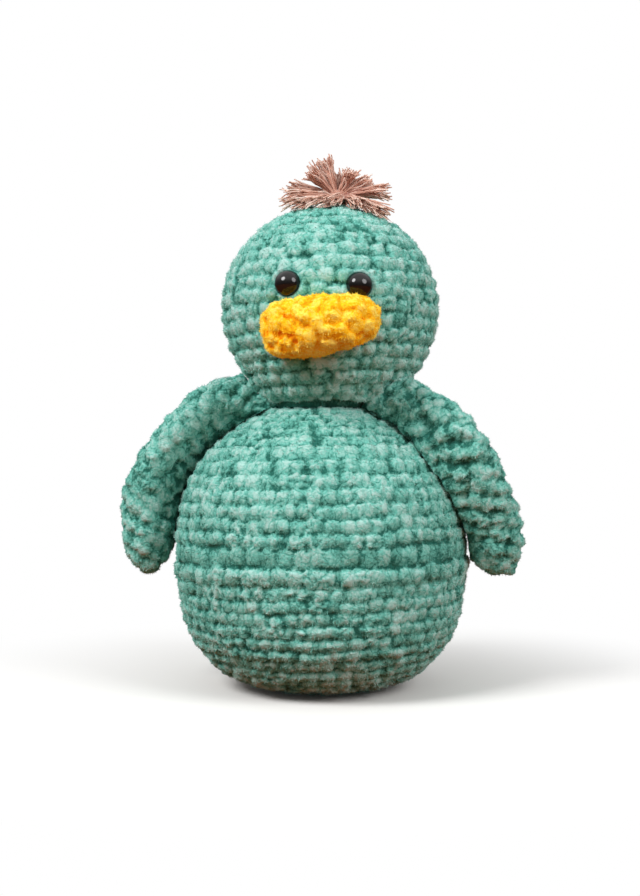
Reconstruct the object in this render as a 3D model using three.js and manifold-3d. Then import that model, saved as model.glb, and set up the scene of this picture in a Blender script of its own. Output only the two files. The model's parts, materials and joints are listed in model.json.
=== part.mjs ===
// A small crocheted duck: stuffed yarn covers for the body, the head, the beak and two hanging wings,
// two safety eyes with their washers, the sewing that joins the pieces, and a tuft of cut thread.
// Millimetres and degrees. The duck stands on z = 0 and faces -Y, so its left side is +X.

import * as THREE from 'three';
import { mergeVertices } from 'three/addons/utils/BufferGeometryUtils.js';
import Module from 'manifold-3d';

const wasm = await Module();
wasm.setup();

// The gap left between pieces that touch on the real toy
const clearance = 0.3;

// Body cover
const bodyRadius = 58.2;
const bodyHeight = 110.5;
const footRadius = 20;
const bodyNeckRadius = 22;
const bodyWall = 5;
const bodyBore = 15;
const bodyRim = 3.4;
// The body's outline between its foot and its neck: shares of its radius and of its height
const bodyOutlineShares = [
  [0.627, 0.045],
  [0.808, 0.127],
  [0.945, 0.253],
  [1.0, 0.48],
  [0.979, 0.615],
  [0.921, 0.724],
  [0.796, 0.833],
  [0.663, 0.905],
  [0.515, 0.959],
];

// Neck seam: a round of sewing yarn between the two neck edges
const neckYarn = 3.6;
const neckSeamRadius = 18.3;

// Head cover: an egg that stands on its neck edge
const headRadius = 43;
const headRise = 40.5;
const headDrop = 44;
const headNeckHeight = 36.3;
const headSideShift = 3.4;
const headWall = 5;
const headBore = 15;

// The face turns a little to the duck's right
const faceTurn = 4;

// Safety eyes and their washers
const eyeDiameter = 10;
const eyeDomeHeight = 4.6;
const eyeSink = 1.2;
const eyeShankDiameter = 3.4;
const eyeShankLength = 10;
const eyeSpacing = 27.2;
const leftEyeRise = 4.0;
const rightEyeRise = 4.9;
const washerDiameter = 11;
const washerThickness = 1.4;

// Beak
const beakWidth = 42;
const beakHeight = 21.2;
const beakReach = 17;
const beakWall = 4.5;
const beakDrop = 10.7;
const beakTurn = 1.2;
const beakRoll = 7;
const beakPitch = 6;
const beakSquareness = 2.7;
// How much the beak's height grows towards its right end and shrinks towards its left, as a share
const beakTaper = 0.12;
const beakYarn = 1.8;
// How far the beak's edge laps over the yarn that sews it on
const beakLap = 1.2;

// Wings
const wingWidth = 26;
const wingThickness = 18;
const wingWall = 4.2;
const wingTipLength = 14;
const wingLift = 45;
// The least half width of the hollow in a wing, where it narrows to its root
const wingMouth = 1.6;
const seamYarn = 4;
const seamLength = 12;
const seamHeightShare = 0.985;
// How a wing swells and tapers: how far along it, then shares of its width and of its thickness
const wingSwell = [
  [0.0, 0.5, 0.6],
  [0.07, 0.64, 0.86],
  [0.14, 0.78, 0.9],
  [0.24, 0.94, 0.86],
  [0.36, 1.0, 0.84],
  [0.5, 0.98, 0.87],
  [0.64, 0.9, 0.96],
  [0.78, 0.87, 1.0],
  [1.0, 0.84, 0.96],
];
// Each wing's facing, how far its broad side is turned back at its root and at its tip, and its middle
// line over the body: the share of the body's height beside which it lies, its distance off the body's
// surface as a share of the wing's thickness, and its turn forward round the body's axis
const leftWing = {
  side: 1,
  shoulderTurn: 33,
  facing: [18, 22],
  path: [
    [0.937, 0.411, 27],
    [0.89, 0.453, 28.5],
    [0.827, 0.516, 28.4],
    [0.768, 0.5, 26.2],
    [0.684, 0.484, 20.4],
    [0.585, 0.537, 14],
    [0.478, 0.589, 10],
    [0.42, 0.611, 8.5],
  ],
};
const rightWing = {
  side: -1,
  shoulderTurn: 0,
  facing: [88, 86],
  path: [
    [0.931, 0.66, 0],
    [0.878, 0.7, 0],
    [0.797, 0.758, 0],
    [0.724, 0.805, 0],
    [0.645, 0.779, 0],
    [0.551, 0.663, 0],
    [0.475, 0.605, 0],
    [0.42, 0.589, 0],
  ],
};

// Tuft of cut thread on the crown
const tuftShift = 3;
const tuftForward = 2;
const knotRadius = 4;
const knotSink = 1.5;
const lockRadius = 2.1;
const lockRootRadius = 0.8;
const lockTipRadius = 1.8;
const lockArch = 3;
// Where each lock of thread ends, from the knot's middle: to the left, backwards and up
const lockTips = [
  [-6, -2, 16.5],
  [-12.5, -5, 11],
  [-20, 2, 5],
  [-22.5, -9, -2],
  [-16.6, -15, -6.5],
  [-7, -18, -6],
  [5.5, -5, 11],
  [14, -1, 7.5],
  [21, -5, 1.5],
  [20, -15, -9],
  [10, -18, -7],
  [-9, 13, 2],
  [10, 13.5, 1],
  [1, 8, 12],
];

// How finely the round surfaces are divided
const bodySides = 36;
const bodyRows = 13;
const headSides = 34;
const headRows = 13;
const innerRows = 6;
const yarnSides = 6;
const yarnSteps = 28;
const eyeSides = 16;
const domeRows = 4;
const beakSides = 22;
const beakRows = 12;
const wingSides = 14;
const wingRows = 14;
const lockRows = 5;
const knotSides = 12;
const knotRows = 8;
const rollSides = 10;
const rollEndRows = 2;
const liftSteps = 6;
const halvings = 30;
const mergeDistance = 1e-4;
// The row of a wing at which its stuffing starts, and what is left of its roundness at the very tip
const stuffingFirstRow = 2;
const tipBlunt = 0.02;

const radians = THREE.MathUtils.degToRad;
const up = new THREE.Vector3(0, 0, 1);
const backward = new THREE.Vector3(0, 1, 0);

// Places that follow from the sizes
const headRim = bodyHeight + neckYarn + 2 * clearance;
const headNeckRadius = headRadius * Math.sqrt(1 - (headNeckHeight / headDrop) ** 2);
const headCentre = new THREE.Vector3(headSideShift, 0, headRim + headNeckHeight);

// A closed mesh of merged points, with collapsed triangles left out
function closedMesh(geometry) {
  const bare = geometry.clone();
  bare.deleteAttribute('normal');
  bare.deleteAttribute('uv');
  const merged = mergeVertices(bare, mergeDistance);
  const source = merged.index.array;
  const kept = [];
  for (let i = 0; i < source.length; i += 3) {
    const [a, b, c] = [source[i], source[i + 1], source[i + 2]];
    if (a !== b && b !== c && c !== a) kept.push(a, b, c);
  }
  merged.setIndex(kept);
  return merged;
}

// Six times the volume inside a closed mesh, positive if its faces point out
function signedVolume(geometry) {
  const places = geometry.attributes.position;
  const index = geometry.index.array;
  const corner = [new THREE.Vector3(), new THREE.Vector3(), new THREE.Vector3()];
  let total = 0;
  for (let i = 0; i < index.length; i += 3) {
    corner.forEach((point, k) => point.fromBufferAttribute(places, index[i + k]));
    total += corner[0].dot(corner[1].clone().cross(corner[2]));
  }
  return total;
}

// The solid that a closed mesh bounds, with its faces turned out
function solidOf(geometry, matrix = new THREE.Matrix4()) {
  const mesh = closedMesh(geometry).applyMatrix4(matrix);
  const triangles = Uint32Array.from(mesh.index.array);
  if (signedVolume(mesh) < 0) {
    for (let i = 0; i < triangles.length; i += 3) {
      [triangles[i], triangles[i + 1]] = [triangles[i + 1], triangles[i]];
    }
  }
  const vertProperties = Float32Array.from(mesh.attributes.position.array);
  return new wasm.Manifold(new wasm.Mesh({ numProp: 3, vertProperties, triVerts: triangles }));
}

// A solid with others cut out of it
function cut(solid, ...tools) {
  return tools.reduce((left, tool) => left.subtract(tool), solid);
}

// A named mesh of a solid, with its own material
function piece(name, solid, look) {
  const mesh = solid.getMesh();
  const geometry = new THREE.BufferGeometry();
  geometry.setAttribute('position', new THREE.BufferAttribute(Float32Array.from(mesh.vertProperties), 3));
  geometry.setIndex(Array.from(mesh.triVerts));
  geometry.computeVertexNormals();
  const made = new THREE.Mesh(geometry, new THREE.MeshStandardMaterial(look));
  made.name = name;
  return made;
}

// A profile of [radius, height] points turned about the upright axis
function turned(profile, sides) {
  const points = profile.map(([radius, height]) => new THREE.Vector2(radius, height));
  return new THREE.LatheGeometry(points, sides).rotateX(Math.PI / 2);
}

// A closed skin over rings with as many points each: a loop, or a tube with a fan over each end
function skinned(rings, looped = false) {
  const sides = rings[0].length;
  const places = rings.flat();
  const index = [];
  const spans = looped ? rings.length : rings.length - 1;
  for (let row = 0; row < spans; row += 1) {
    const here = row * sides;
    const next = ((row + 1) % rings.length) * sides;
    for (let side = 0; side < sides; side += 1) {
      const beside = (side + 1) % sides;
      index.push(here + side, here + beside, next + beside);
      index.push(here + side, next + beside, next + side);
    }
  }
  const ends = looped ? [] : [0, rings.length - 1];
  ends.forEach((row) => {
    const middle = new THREE.Vector3();
    rings[row].forEach((point) => middle.addScaledVector(point, 1 / sides));
    places.push(middle);
    for (let side = 0; side < sides; side += 1) {
      const edge = [row * sides + side, row * sides + ((side + 1) % sides)];
      if (row === 0) edge.reverse();
      index.push(places.length - 1, ...edge);
    }
  });
  const geometry = new THREE.BufferGeometry().setFromPoints(places);
  geometry.setIndex(index);
  return geometry;
}

// A ring of points on an oval about a middle
function oval(middle, across, along, halfAcross, halfAlong, sides) {
  return Array.from({ length: sides }, (_, side) => {
    const angle = (2 * Math.PI * side) / sides;
    return middle
      .clone()
      .addScaledVector(across, halfAcross * Math.cos(angle))
      .addScaledVector(along, halfAlong * Math.sin(angle));
  });
}

// A value read between the rows of a table whose first column rises
function readTable(table, at, column) {
  const after = Math.max(1, table.findIndex((row) => row[0] >= at));
  const [low, high] = [table[after - 1], table[after]];
  const share = (at - low[0]) / (high[0] - low[0]);
  return low[column] + share * (high[column] - low[column]);
}

// The body's outline from the edge of its foot to the edge of its neck
const bodyCurve = new THREE.SplineCurve([
  new THREE.Vector2(footRadius, 0),
  ...bodyOutlineShares.map(([r, z]) => new THREE.Vector2(r * bodyRadius, z * bodyHeight)),
  new THREE.Vector2(bodyNeckRadius, bodyHeight),
]);

// Points at a depth under the body's outline, from foot to neck
function bodyProfile(depth, rows) {
  return Array.from({ length: rows + 1 }, (_, row) => {
    const point = bodyCurve.getPointAt(row / rows);
    const tangent = bodyCurve.getTangentAt(row / rows);
    return [point.x - depth * tangent.y, point.y + depth * tangent.x];
  });
}

// Points at a depth under the head's outline, from its neck edge to the crown
function headProfile(depth, rows) {
  const lowest = -Math.asin(headNeckHeight / headDrop);
  return Array.from({ length: rows + 1 }, (_, row) => {
    const angle = lowest + ((Math.PI / 2 - lowest) * row) / rows;
    const tall = angle < 0 ? headDrop : headRise;
    const radius = row === rows ? 0 : (headRadius - depth) * Math.cos(angle);
    return [radius, (tall - depth) * Math.sin(angle)];
  });
}

// The whole body as a solid, grown by a gap, for cutting what lies against it
function bodyTool(gap, matrix) {
  const side = bodyProfile(-gap, bodyRows);
  const profile = [[0, -gap], [footRadius, -gap], ...side, [0, bodyHeight + gap]];
  return solidOf(turned(profile, bodySides), matrix);
}

// The whole head as a solid about its own middle, grown by a gap
function headTool(gap, matrix) {
  const rim = [headNeckRadius + gap, -headNeckHeight - gap];
  return solidOf(turned([[0, rim[1]], rim, ...headProfile(-gap, headRows)], headSides), matrix);
}

// Body cover: up its outside, over its neck edge and back down its inside
function bodyCover() {
  const inside = bodyProfile(bodyWall, innerRows).reverse();
  const profile = [
    [0, 0],
    ...bodyProfile(0, bodyRows),
    [bodyBore, bodyHeight],
    [bodyBore, bodyHeight - bodyRim],
    ...inside,
    [0, bodyWall],
  ];
  return solidOf(turned(profile, bodySides));
}

function bodyStuffing() {
  const depth = bodyWall + clearance;
  const profile = [
    [0, depth],
    ...bodyProfile(depth, innerRows),
    [bodyBore - clearance, bodyHeight - bodyRim - clearance],
    [bodyBore - clearance, bodyHeight],
    [0, bodyHeight],
  ];
  return solidOf(turned(profile, bodySides));
}

// Head cover: down its inside from the crown, over its neck edge and up its outside
function headCover() {
  const inside = headProfile(headWall, innerRows).reverse();
  const floor = inside[innerRows][1];
  const profile = [...inside, [headBore, floor], [headBore, -headNeckHeight], ...headProfile(0, headRows)];
  return solidOf(turned(profile, headSides));
}

function headStuffing() {
  const outside = headProfile(headWall + clearance, innerRows);
  const neck = headBore - clearance;
  const profile = [[0, -headNeckHeight], [neck, -headNeckHeight], [neck, outside[0][1]], ...outside];
  return solidOf(turned(profile, headSides));
}

// A round of yarn: a ring that lies flat
function neckSeam() {
  const rings = Array.from({ length: yarnSteps }, (_, step) => {
    const angle = (2 * Math.PI * step) / yarnSteps;
    const outward = new THREE.Vector3(Math.cos(angle), Math.sin(angle), 0);
    const middle = outward.clone().multiplyScalar(neckSeamRadius);
    return oval(middle, outward, up, neckYarn / 2, neckYarn / 2, yarnSides);
  });
  return solidOf(skinned(rings, true));
}

// Where an eye sits: a point on the head's surface, and the way out of it
function eyePlace(side, rise) {
  const level = headRadius * Math.sqrt(1 - (rise / headRise) ** 2);
  const turn = Math.asin(eyeSpacing / 2 / level) * side;
  const way = new THREE.Vector3(Math.sin(turn - radians(faceTurn)), -Math.cos(turn - radians(faceTurn)), 0);
  const point = way.clone().multiplyScalar(level).addScaledVector(up, rise);
  const outward = new THREE.Vector3(point.x, point.y, point.z * (headRadius / headRise) ** 2).normalize();
  point.addScaledVector(outward, -eyeSink);
  return { point, turn: new THREE.Quaternion().setFromUnitVectors(up, outward) };
}

// The dome of an eye as [radius, height] points, from its rim to its top
function domeProfile() {
  return Array.from({ length: domeRows + 1 }, (_, row) => {
    const angle = (Math.PI / 2) * (row / domeRows);
    const radius = row === domeRows ? 0 : (eyeDiameter / 2) * Math.cos(angle);
    return [radius, eyeDomeHeight * Math.sin(angle)];
  });
}

function safetyEye() {
  const shank = eyeShankDiameter / 2;
  const profile = [[0, -eyeShankLength], [shank, -eyeShankLength], [shank, 0], ...domeProfile()];
  return solidOf(turned(profile, eyeSides));
}

// The room that an eye needs in the head's cover: a hollow for its dome and a hole for its shank
function eyeRoom(matrix) {
  const shank = eyeShankDiameter / 2 + clearance;
  const dome = eyeDiameter / 2 + clearance;
  const profile = [
    [0, -eyeShankLength - clearance],
    [shank, -eyeShankLength - clearance],
    [shank, -clearance],
    [dome, -clearance],
    [dome, eyeDomeHeight + eyeSink],
    [0, eyeDomeHeight + eyeSink],
  ];
  return solidOf(turned(profile, eyeSides), matrix);
}

// How far under an eye its washer's outer face lies: past the cover, whose inside is round
const insideRadius = headRadius - headWall;
const coverUnderEye = headWall - eyeSink;
const washerDepth = coverUnderEye + (washerDiameter / 2) ** 2 / insideRadius + clearance;

function eyeWasher() {
  const hole = eyeShankDiameter / 2 + clearance;
  const rim = washerDiameter / 2;
  const profile = [
    [hole, -washerDepth - washerThickness],
    [rim, -washerDepth - washerThickness],
    [rim, -washerDepth],
    [hole, -washerDepth],
    [hole, -washerDepth - washerThickness],
  ];
  return solidOf(turned(profile, eyeSides));
}

// The pocket for a washer and the end of the shank, from deep in the head out to a height under the eye
function washerRoom(matrix, height) {
  const rim = washerDiameter / 2 + clearance;
  const deep = Math.max(eyeShankLength, washerDepth + washerThickness) + clearance;
  const profile = [[0, -deep], [rim, -deep], [rim, height], [0, height]];
  return solidOf(turned(profile, eyeSides), matrix);
}

// The beak's frame: its root's middle on the head's surface, and its ways left, up and out
const beakLevel = headRadius * Math.sqrt(1 - (beakDrop / headDrop) ** 2);
const ahead = new THREE.Vector3(0, -1, 0).applyAxisAngle(up, -radians(faceTurn + beakTurn));
const beakLeft = up.clone().cross(ahead);
const beakOut = ahead.clone().applyAxisAngle(beakLeft, radians(beakPitch));
const beakRoot = ahead.clone().multiplyScalar(beakLevel).addScaledVector(up, -beakDrop);
const beakMatrix = new THREE.Matrix4()
  .makeBasis(beakLeft, beakOut.clone().cross(beakLeft), beakOut)
  .multiply(new THREE.Matrix4().makeRotationZ(radians(beakRoll)))
  .setPosition(beakRoot);
const intoBeak = beakMatrix.clone().invert();

// How much taller or lower than its middle the beak is at a place across it
function tapering(x) {
  return 1 - (beakTaper * x) / (beakWidth / 2);
}

// The beak's plump bar with round ends, drawn in all round by a depth
function beakForm(depth) {
  const half = [beakWidth / 2 - depth, beakHeight / 2 - depth, beakReach - depth];
  const geometry = new THREE.SphereGeometry(1, beakSides, beakRows);
  const places = geometry.attributes.position;
  for (let i = 0; i < places.count; i += 1) {
    const way = [places.getX(i), places.getY(i), places.getZ(i)];
    const sum = way.reduce((total, share) => total + Math.abs(share) ** beakSquareness, 0);
    const [x, y, z] = way.map((share, axis) => share * sum ** (-1 / beakSquareness) * half[axis]);
    places.setXYZ(i, x, y * tapering(x), z);
  }
  return geometry;
}

// The round of yarn that sews the beak on, grown by a gap: it lies on the head, under the beak's edge
function beakSeam(gap) {
  const inset = beakLap + beakYarn / 2;
  const half = [beakWidth / 2 - inset, beakHeight / 2 - inset];
  const middles = Array.from({ length: yarnSteps }, (_, step) => {
    const angle = (2 * Math.PI * step) / yarnSteps;
    const way = [Math.cos(angle), Math.sin(angle)];
    const sum = way.reduce((total, share) => total + Math.abs(share) ** beakSquareness, 0);
    const [x, y] = way.map((share, axis) => share * sum ** (-1 / beakSquareness) * half[axis]);
    return onHead(new THREE.Vector3(x, y * tapering(x), 0), beakYarn / 2 + clearance);
  });
  const rings = middles.map((middle, step) => {
    const along = middles[(step + 1) % yarnSteps].clone().sub(middles.at(step - 1)).normalize();
    const outward = up.clone().cross(along).normalize();
    const radius = beakYarn / 2 + gap;
    return oval(middle, outward, along.clone().cross(outward), radius, radius, yarnSides);
  });
  return solidOf(skinned(rings, true));
}

// A point of the beak's own frame, moved along the beak's way out until it lies off the head's surface
function onHead(point, gap) {
  const start = point.clone().applyMatrix4(beakMatrix);
  const way = beakOut.clone();
  const size = new THREE.Vector3(headRadius + gap, headRadius + gap, headDrop + gap);
  const [from, along] = [start.clone().divide(size), way.clone().divide(size)];
  const [a, b, c] = [along.dot(along), from.dot(along), from.dot(from) - 1];
  return point.clone().setZ(point.z + (-b + Math.sqrt(b * b - a * c)) / a);
}

// A point off the body's surface: beside a share of its height, at a distance and a forward turn
function offBody([heightShare, distance, turn], side) {
  let [low, high] = [0, 1];
  for (let step = 0; step < halvings; step += 1) {
    const middle = (low + high) / 2;
    if (bodyCurve.getPointAt(middle).y < heightShare * bodyHeight) low = middle;
    else high = middle;
  }
  const point = bodyCurve.getPointAt(low);
  const tangent = bodyCurve.getTangentAt(low);
  const reach = point.x + distance * tangent.y;
  const height = point.y - distance * tangent.x;
  return new THREE.Vector3(side * reach * Math.cos(radians(turn)), -reach * Math.sin(radians(turn)), height);
}

// A wing's shoulder: the line of stitches on the body about which it swings
function shoulder({ side, shoulderTurn }) {
  const turn = radians(shoulderTurn);
  const pivot = offBody([seamHeightShare, seamYarn / 2 + clearance, shoulderTurn], side);
  const outward = new THREE.Vector3(side * Math.cos(turn), -Math.sin(turn), 0);
  return { pivot, outward, axis: outward.clone().cross(up) };
}

// The line of overcast stitches, a roll of yarn along the hinge line, about its own middle
function wingSeam(wing) {
  const { axis } = shoulder(wing);
  const roll = new THREE.CapsuleGeometry(seamYarn / 2, seamLength - seamYarn, rollEndRows, rollSides);
  const turn = new THREE.Quaternion().setFromUnitVectors(backward, axis);
  return solidOf(roll, new THREE.Matrix4().makeRotationFromQuaternion(turn));
}

// A wing's swelling form about its shoulder, drawn in by a depth. It starts at a row, after a straight
// stretch towards the body, and its rows lie closer together towards the tip
function wingForm(wing, depth, firstRow, stretch) {
  const { pivot, outward } = shoulder(wing);
  const start = outward.clone().multiplyScalar(seamYarn / 2 + clearance);
  const places = wing.path.map(([height, off, turn]) => {
    return offBody([height, off * wingThickness, turn], wing.side).sub(pivot);
  });
  const line = new THREE.CatmullRomCurve3([start, ...places]);
  const length = line.getLength();
  const roundFrom = 1 - wingTipLength / length;
  const last = 1 - depth / length;
  const rings = [];
  for (let row = firstRow; row <= wingRows; row += 1) {
    const share = last * Math.sin(((Math.PI / 2) * row) / wingRows);
    const middle = line.getPointAt(share);
    const along = line.getTangentAt(share);
    const facing = radians(wing.facing[0] + (wing.facing[1] - wing.facing[0]) * share);
    const back = backward.clone().addScaledVector(along, -along.dot(backward)).normalize();
    const outer = back.clone().cross(along).multiplyScalar(wing.side);
    const broad = outer.multiplyScalar(Math.cos(facing)).addScaledVector(back, Math.sin(facing));
    const thin = along.clone().cross(broad);
    const past = Math.max(0, (share - roundFrom) / (last - roundFrom));
    const round = Math.sqrt(Math.max(tipBlunt, 1 - past * past));
    const width = Math.max(wingMouth, (readTable(wingSwell, share, 1) * wingWidth) / 2 - depth);
    const thickness = (readTable(wingSwell, share, 2) * wingThickness) / 2 - depth;
    const half = [width * round, Math.max(wingMouth / 2, thickness) * round];
    if (row === firstRow && stretch > 0) {
      rings.push(oval(middle.clone().addScaledVector(along, -stretch), broad, thin, ...half, wingSides));
    }
    rings.push(oval(middle, broad, thin, ...half, wingSides));
  }
  return solidOf(skinned(rings));
}

// What a wing must clear, about its shoulder: the body, the stitches and the head through the whole lift
function wingTools(wing) {
  const { pivot, axis } = shoulder(wing);
  const toPivot = new THREE.Matrix4().makeTranslation(-pivot.x, -pivot.y, -pivot.z);
  const headPlace = new THREE.Matrix4().makeTranslation(headCentre.x, headCentre.y, headCentre.z);
  const rollRadius = seamYarn / 2 + clearance;
  const roll = new THREE.CylinderGeometry(rollRadius, rollRadius, 2 * wingWidth, 2 * rollSides);
  const rollTurn = new THREE.Quaternion().setFromUnitVectors(backward, axis);
  const tools = [bodyTool(clearance, toPivot)];
  tools.push(solidOf(roll, new THREE.Matrix4().makeRotationFromQuaternion(rollTurn)));
  for (let step = 0; step <= liftSteps; step += 1) {
    const back = new THREE.Matrix4().makeRotationAxis(axis, -radians((wingLift * step) / liftSteps));
    tools.push(headTool(clearance, back.multiply(toPivot).multiply(headPlace)));
  }
  return tools;
}

function wingCover(wing) {
  const hollow = wingForm(wing, wingWall, 0, 2 * seamYarn);
  return cut(wingForm(wing, 0, 0, 0), hollow, ...wingTools(wing));
}

function wingStuffing(wing) {
  return wingForm(wing, wingWall + clearance, stuffingFirstRow, 0);
}

// The knot's middle, over the crown and sunk a little into it
const tuftReach = Math.hypot(tuftShift, tuftForward) / headRadius;
const knotRise = headRise * Math.sqrt(1 - tuftReach ** 2) + knotRadius - knotSink;
const knotPlace = new THREE.Vector3(tuftShift, -tuftForward, knotRise);

function knotForm(gap) {
  return new THREE.SphereGeometry(knotRadius + gap, knotSides, knotRows).rotateX(Math.PI / 2);
}

// One lock of thread about the knot's middle: it leaves the knot, arches over and ends at its tip
function tuftLock(tip) {
  const end = new THREE.Vector3(...tip);
  const bend = end.clone().multiplyScalar(0.5).addScaledVector(up, lockArch);
  const start = bend.clone().setLength(knotRadius + clearance);
  const line = new THREE.QuadraticBezierCurve3(start, bend, end);
  const rings = Array.from({ length: lockRows + 1 }, (_, row) => {
    const share = row / lockRows;
    const along = line.getTangentAt(share);
    const across = along.clone().cross(up).normalize();
    const swell = Math.sin(Math.PI * share);
    const ends = lockRootRadius + (lockTipRadius - lockRootRadius) * share;
    const radius = ends + (lockRadius - ends) * swell;
    return oval(line.getPointAt(share), across, across.clone().cross(along), radius, -radius, yarnSides);
  });
  const fromKnot = new THREE.Matrix4().makeTranslation(-knotPlace.x, -knotPlace.y, -knotPlace.z);
  return cut(solidOf(skinned(rings)), headTool(clearance, fromKnot), solidOf(knotForm(clearance / 2)));
}

// Finishes: plush yarn in mint and in yellow, loose filling, gloss and plain plastic, and brown thread
const mintYarn = { color: 0x84c2b4, roughness: 0.95, metalness: 0 };
const yellowYarn = { color: 0xf0b425, roughness: 0.95, metalness: 0 };
const filling = { color: 0xf2efe8, roughness: 1, metalness: 0 };
const glossBlack = { color: 0x0c0b0b, roughness: 0.08, metalness: 0 };
const plainPlastic = { color: 0xe6e3da, roughness: 0.5, metalness: 0 };
const brownThread = { color: 0xa77562, roughness: 0.85, metalness: 0 };

const duck = new THREE.Group();
duck.add(piece('body_cover', bodyCover(), mintYarn));
duck.add(piece('body_stuffing', bodyStuffing(), filling));
const neckRing = piece('neck_seam', neckSeam(), mintYarn);
neckRing.position.set(headSideShift / 2, 0, bodyHeight + clearance + neckYarn / 2);
duck.add(neckRing);

// The head and all that it carries
const head = new THREE.Group();
head.position.copy(headCentre);
duck.add(head);
const eyes = [['left', 1, leftEyeRise], ['right', -1, rightEyeRise]].map(([name, side, rise]) => {
  const place = eyePlace(side, rise);
  const matrix = new THREE.Matrix4().compose(place.point, place.turn, new THREE.Vector3(1, 1, 1));
  return { name, place, matrix };
});
const knotMatrix = new THREE.Matrix4().makeTranslation(knotPlace.x, knotPlace.y, knotPlace.z);
const eyeHoles = eyes.map(({ matrix }) => eyeRoom(matrix));
const washerSeats = eyes.map(({ matrix }) => washerRoom(matrix, clearance - washerDepth));
const eyePockets = eyes.map(({ matrix }) => washerRoom(matrix, eyeSink));
const knotRoom = solidOf(knotForm(clearance), knotMatrix);
head.add(piece('head_cover', cut(headCover(), ...eyeHoles, ...washerSeats, knotRoom), mintYarn));
head.add(piece('head_stuffing', cut(headStuffing(), ...eyePockets), filling));
eyes.forEach(({ name, place }) => {
  const eye = piece(`eye_${name}`, safetyEye(), glossBlack);
  const washer = piece(`eye_washer_${name}`, eyeWasher(), plainPlastic);
  [eye, washer].forEach((mesh) => {
    mesh.position.copy(place.point);
    mesh.quaternion.copy(place.turn);
    head.add(mesh);
  });
});

// The beak, in a frame of its own on the head
const beak = new THREE.Group();
beak.applyMatrix4(beakMatrix);
head.add(beak);
const faceOfHead = headTool(clearance, intoBeak);
const besideEyes = eyes.map(({ matrix }) => eyeRoom(intoBeak.clone().multiply(matrix)));
const beakHollow = solidOf(beakForm(beakWall));
const beakShell = cut(solidOf(beakForm(0)), beakHollow, faceOfHead, beakSeam(clearance), ...besideEyes);
const beakFilling = cut(solidOf(beakForm(beakWall + clearance)), faceOfHead);
beak.add(piece('beak_cover', beakShell, yellowYarn));
beak.add(piece('beak_stuffing', beakFilling, filling));
beak.add(piece('beak_seam', beakSeam(0), yellowYarn));

// The tuft on the crown
const tuft = new THREE.Group();
tuft.position.copy(knotPlace);
head.add(tuft);
tuft.add(piece('tuft_knot', solidOf(knotForm(0)), brownThread));
lockTips.forEach((tip, i) => {
  tuft.add(piece(`tuft_lock_${String(i + 1).padStart(2, '0')}`, tuftLock(tip), brownThread));
});

// The wings hang from their shoulders
[['left', leftWing], ['right', rightWing]].forEach(([name, wing]) => {
  const hanging = new THREE.Group();
  hanging.position.copy(shoulder(wing).pivot);
  hanging.add(piece(`wing_${name}_cover`, wingCover(wing), mintYarn));
  hanging.add(piece(`wing_${name}_stuffing`, wingStuffing(wing), filling));
  hanging.add(piece(`wing_${name}_seam`, wingSeam(wing), mintYarn));
  duck.add(hanging);
});

export default duck;
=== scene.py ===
# %% [markdown]
# # A crocheted duck
# The real toy is worked in thick chenille yarn, whose short pile stands out all round a thin core. It is
# worked in rounds, in a spiral, as most small stuffed toys are. The eye reads three sizes of detail:
# the stuffed form, then the rounds of plump stitches, and then the crushed pile.
# Each soft piece here is made in those three layers, and each layer has its own cells.

import json
import math
from functools import partial

import bpy
import numpy as np
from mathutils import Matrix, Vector

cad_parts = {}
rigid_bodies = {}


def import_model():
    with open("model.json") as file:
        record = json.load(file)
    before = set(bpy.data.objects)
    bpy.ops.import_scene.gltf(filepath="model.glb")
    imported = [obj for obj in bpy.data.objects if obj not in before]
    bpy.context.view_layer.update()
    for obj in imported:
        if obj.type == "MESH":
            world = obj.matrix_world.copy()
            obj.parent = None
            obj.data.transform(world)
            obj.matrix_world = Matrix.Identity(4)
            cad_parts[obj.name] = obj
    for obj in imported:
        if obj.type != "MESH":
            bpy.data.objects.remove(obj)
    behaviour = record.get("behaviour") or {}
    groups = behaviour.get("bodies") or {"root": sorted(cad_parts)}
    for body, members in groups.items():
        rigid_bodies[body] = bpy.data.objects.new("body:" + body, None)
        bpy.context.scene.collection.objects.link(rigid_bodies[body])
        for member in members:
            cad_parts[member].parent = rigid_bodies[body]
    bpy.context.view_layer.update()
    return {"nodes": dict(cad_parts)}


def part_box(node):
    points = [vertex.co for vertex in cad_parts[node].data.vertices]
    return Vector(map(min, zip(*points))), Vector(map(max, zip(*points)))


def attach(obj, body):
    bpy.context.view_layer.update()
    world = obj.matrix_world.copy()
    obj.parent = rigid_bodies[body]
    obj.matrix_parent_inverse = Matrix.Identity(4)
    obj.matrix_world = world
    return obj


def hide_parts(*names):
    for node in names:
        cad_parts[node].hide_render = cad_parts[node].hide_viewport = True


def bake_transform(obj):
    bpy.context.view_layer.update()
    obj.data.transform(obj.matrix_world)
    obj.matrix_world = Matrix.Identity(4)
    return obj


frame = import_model()
MM = 0.001

# %% [markdown]
# ## Camera, light and floor
# The photograph was taken about half a metre away, level with the breast, so the camera is put there and
# looks straight along +Y. A 50 mm lens on a 36 mm sensor then shows 0.4 mm a pixel in the body's middle.
# The light is plain and soft: a wide key lamp above on the camera's left, a weaker fill lamp on its right,
# and a dim white world. A pile has no sharp highlights, but it shades softly into its own creases, and for
# that the light has to come from above.

# %% Camera
CAMERA_DISTANCE = 498 * MM
CAMERA_HEIGHT = 95 * MM
CAMERA_SHIFT = -0.6 * MM

camera_data = bpy.data.cameras.new("camera")
camera_data.lens = 50
camera_data.sensor_width = 36
camera = bpy.data.objects.new("camera", camera_data)
camera.location = (CAMERA_SHIFT, -CAMERA_DISTANCE, CAMERA_HEIGHT)
camera.rotation_euler = (math.radians(90), 0, 0)
bpy.context.scene.collection.objects.link(camera)
bpy.context.scene.camera = camera
bpy.context.scene.view_settings.view_transform = "Standard"
print("camera stands in mm at:", [round(v / MM, 1) for v in camera.location])

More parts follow.
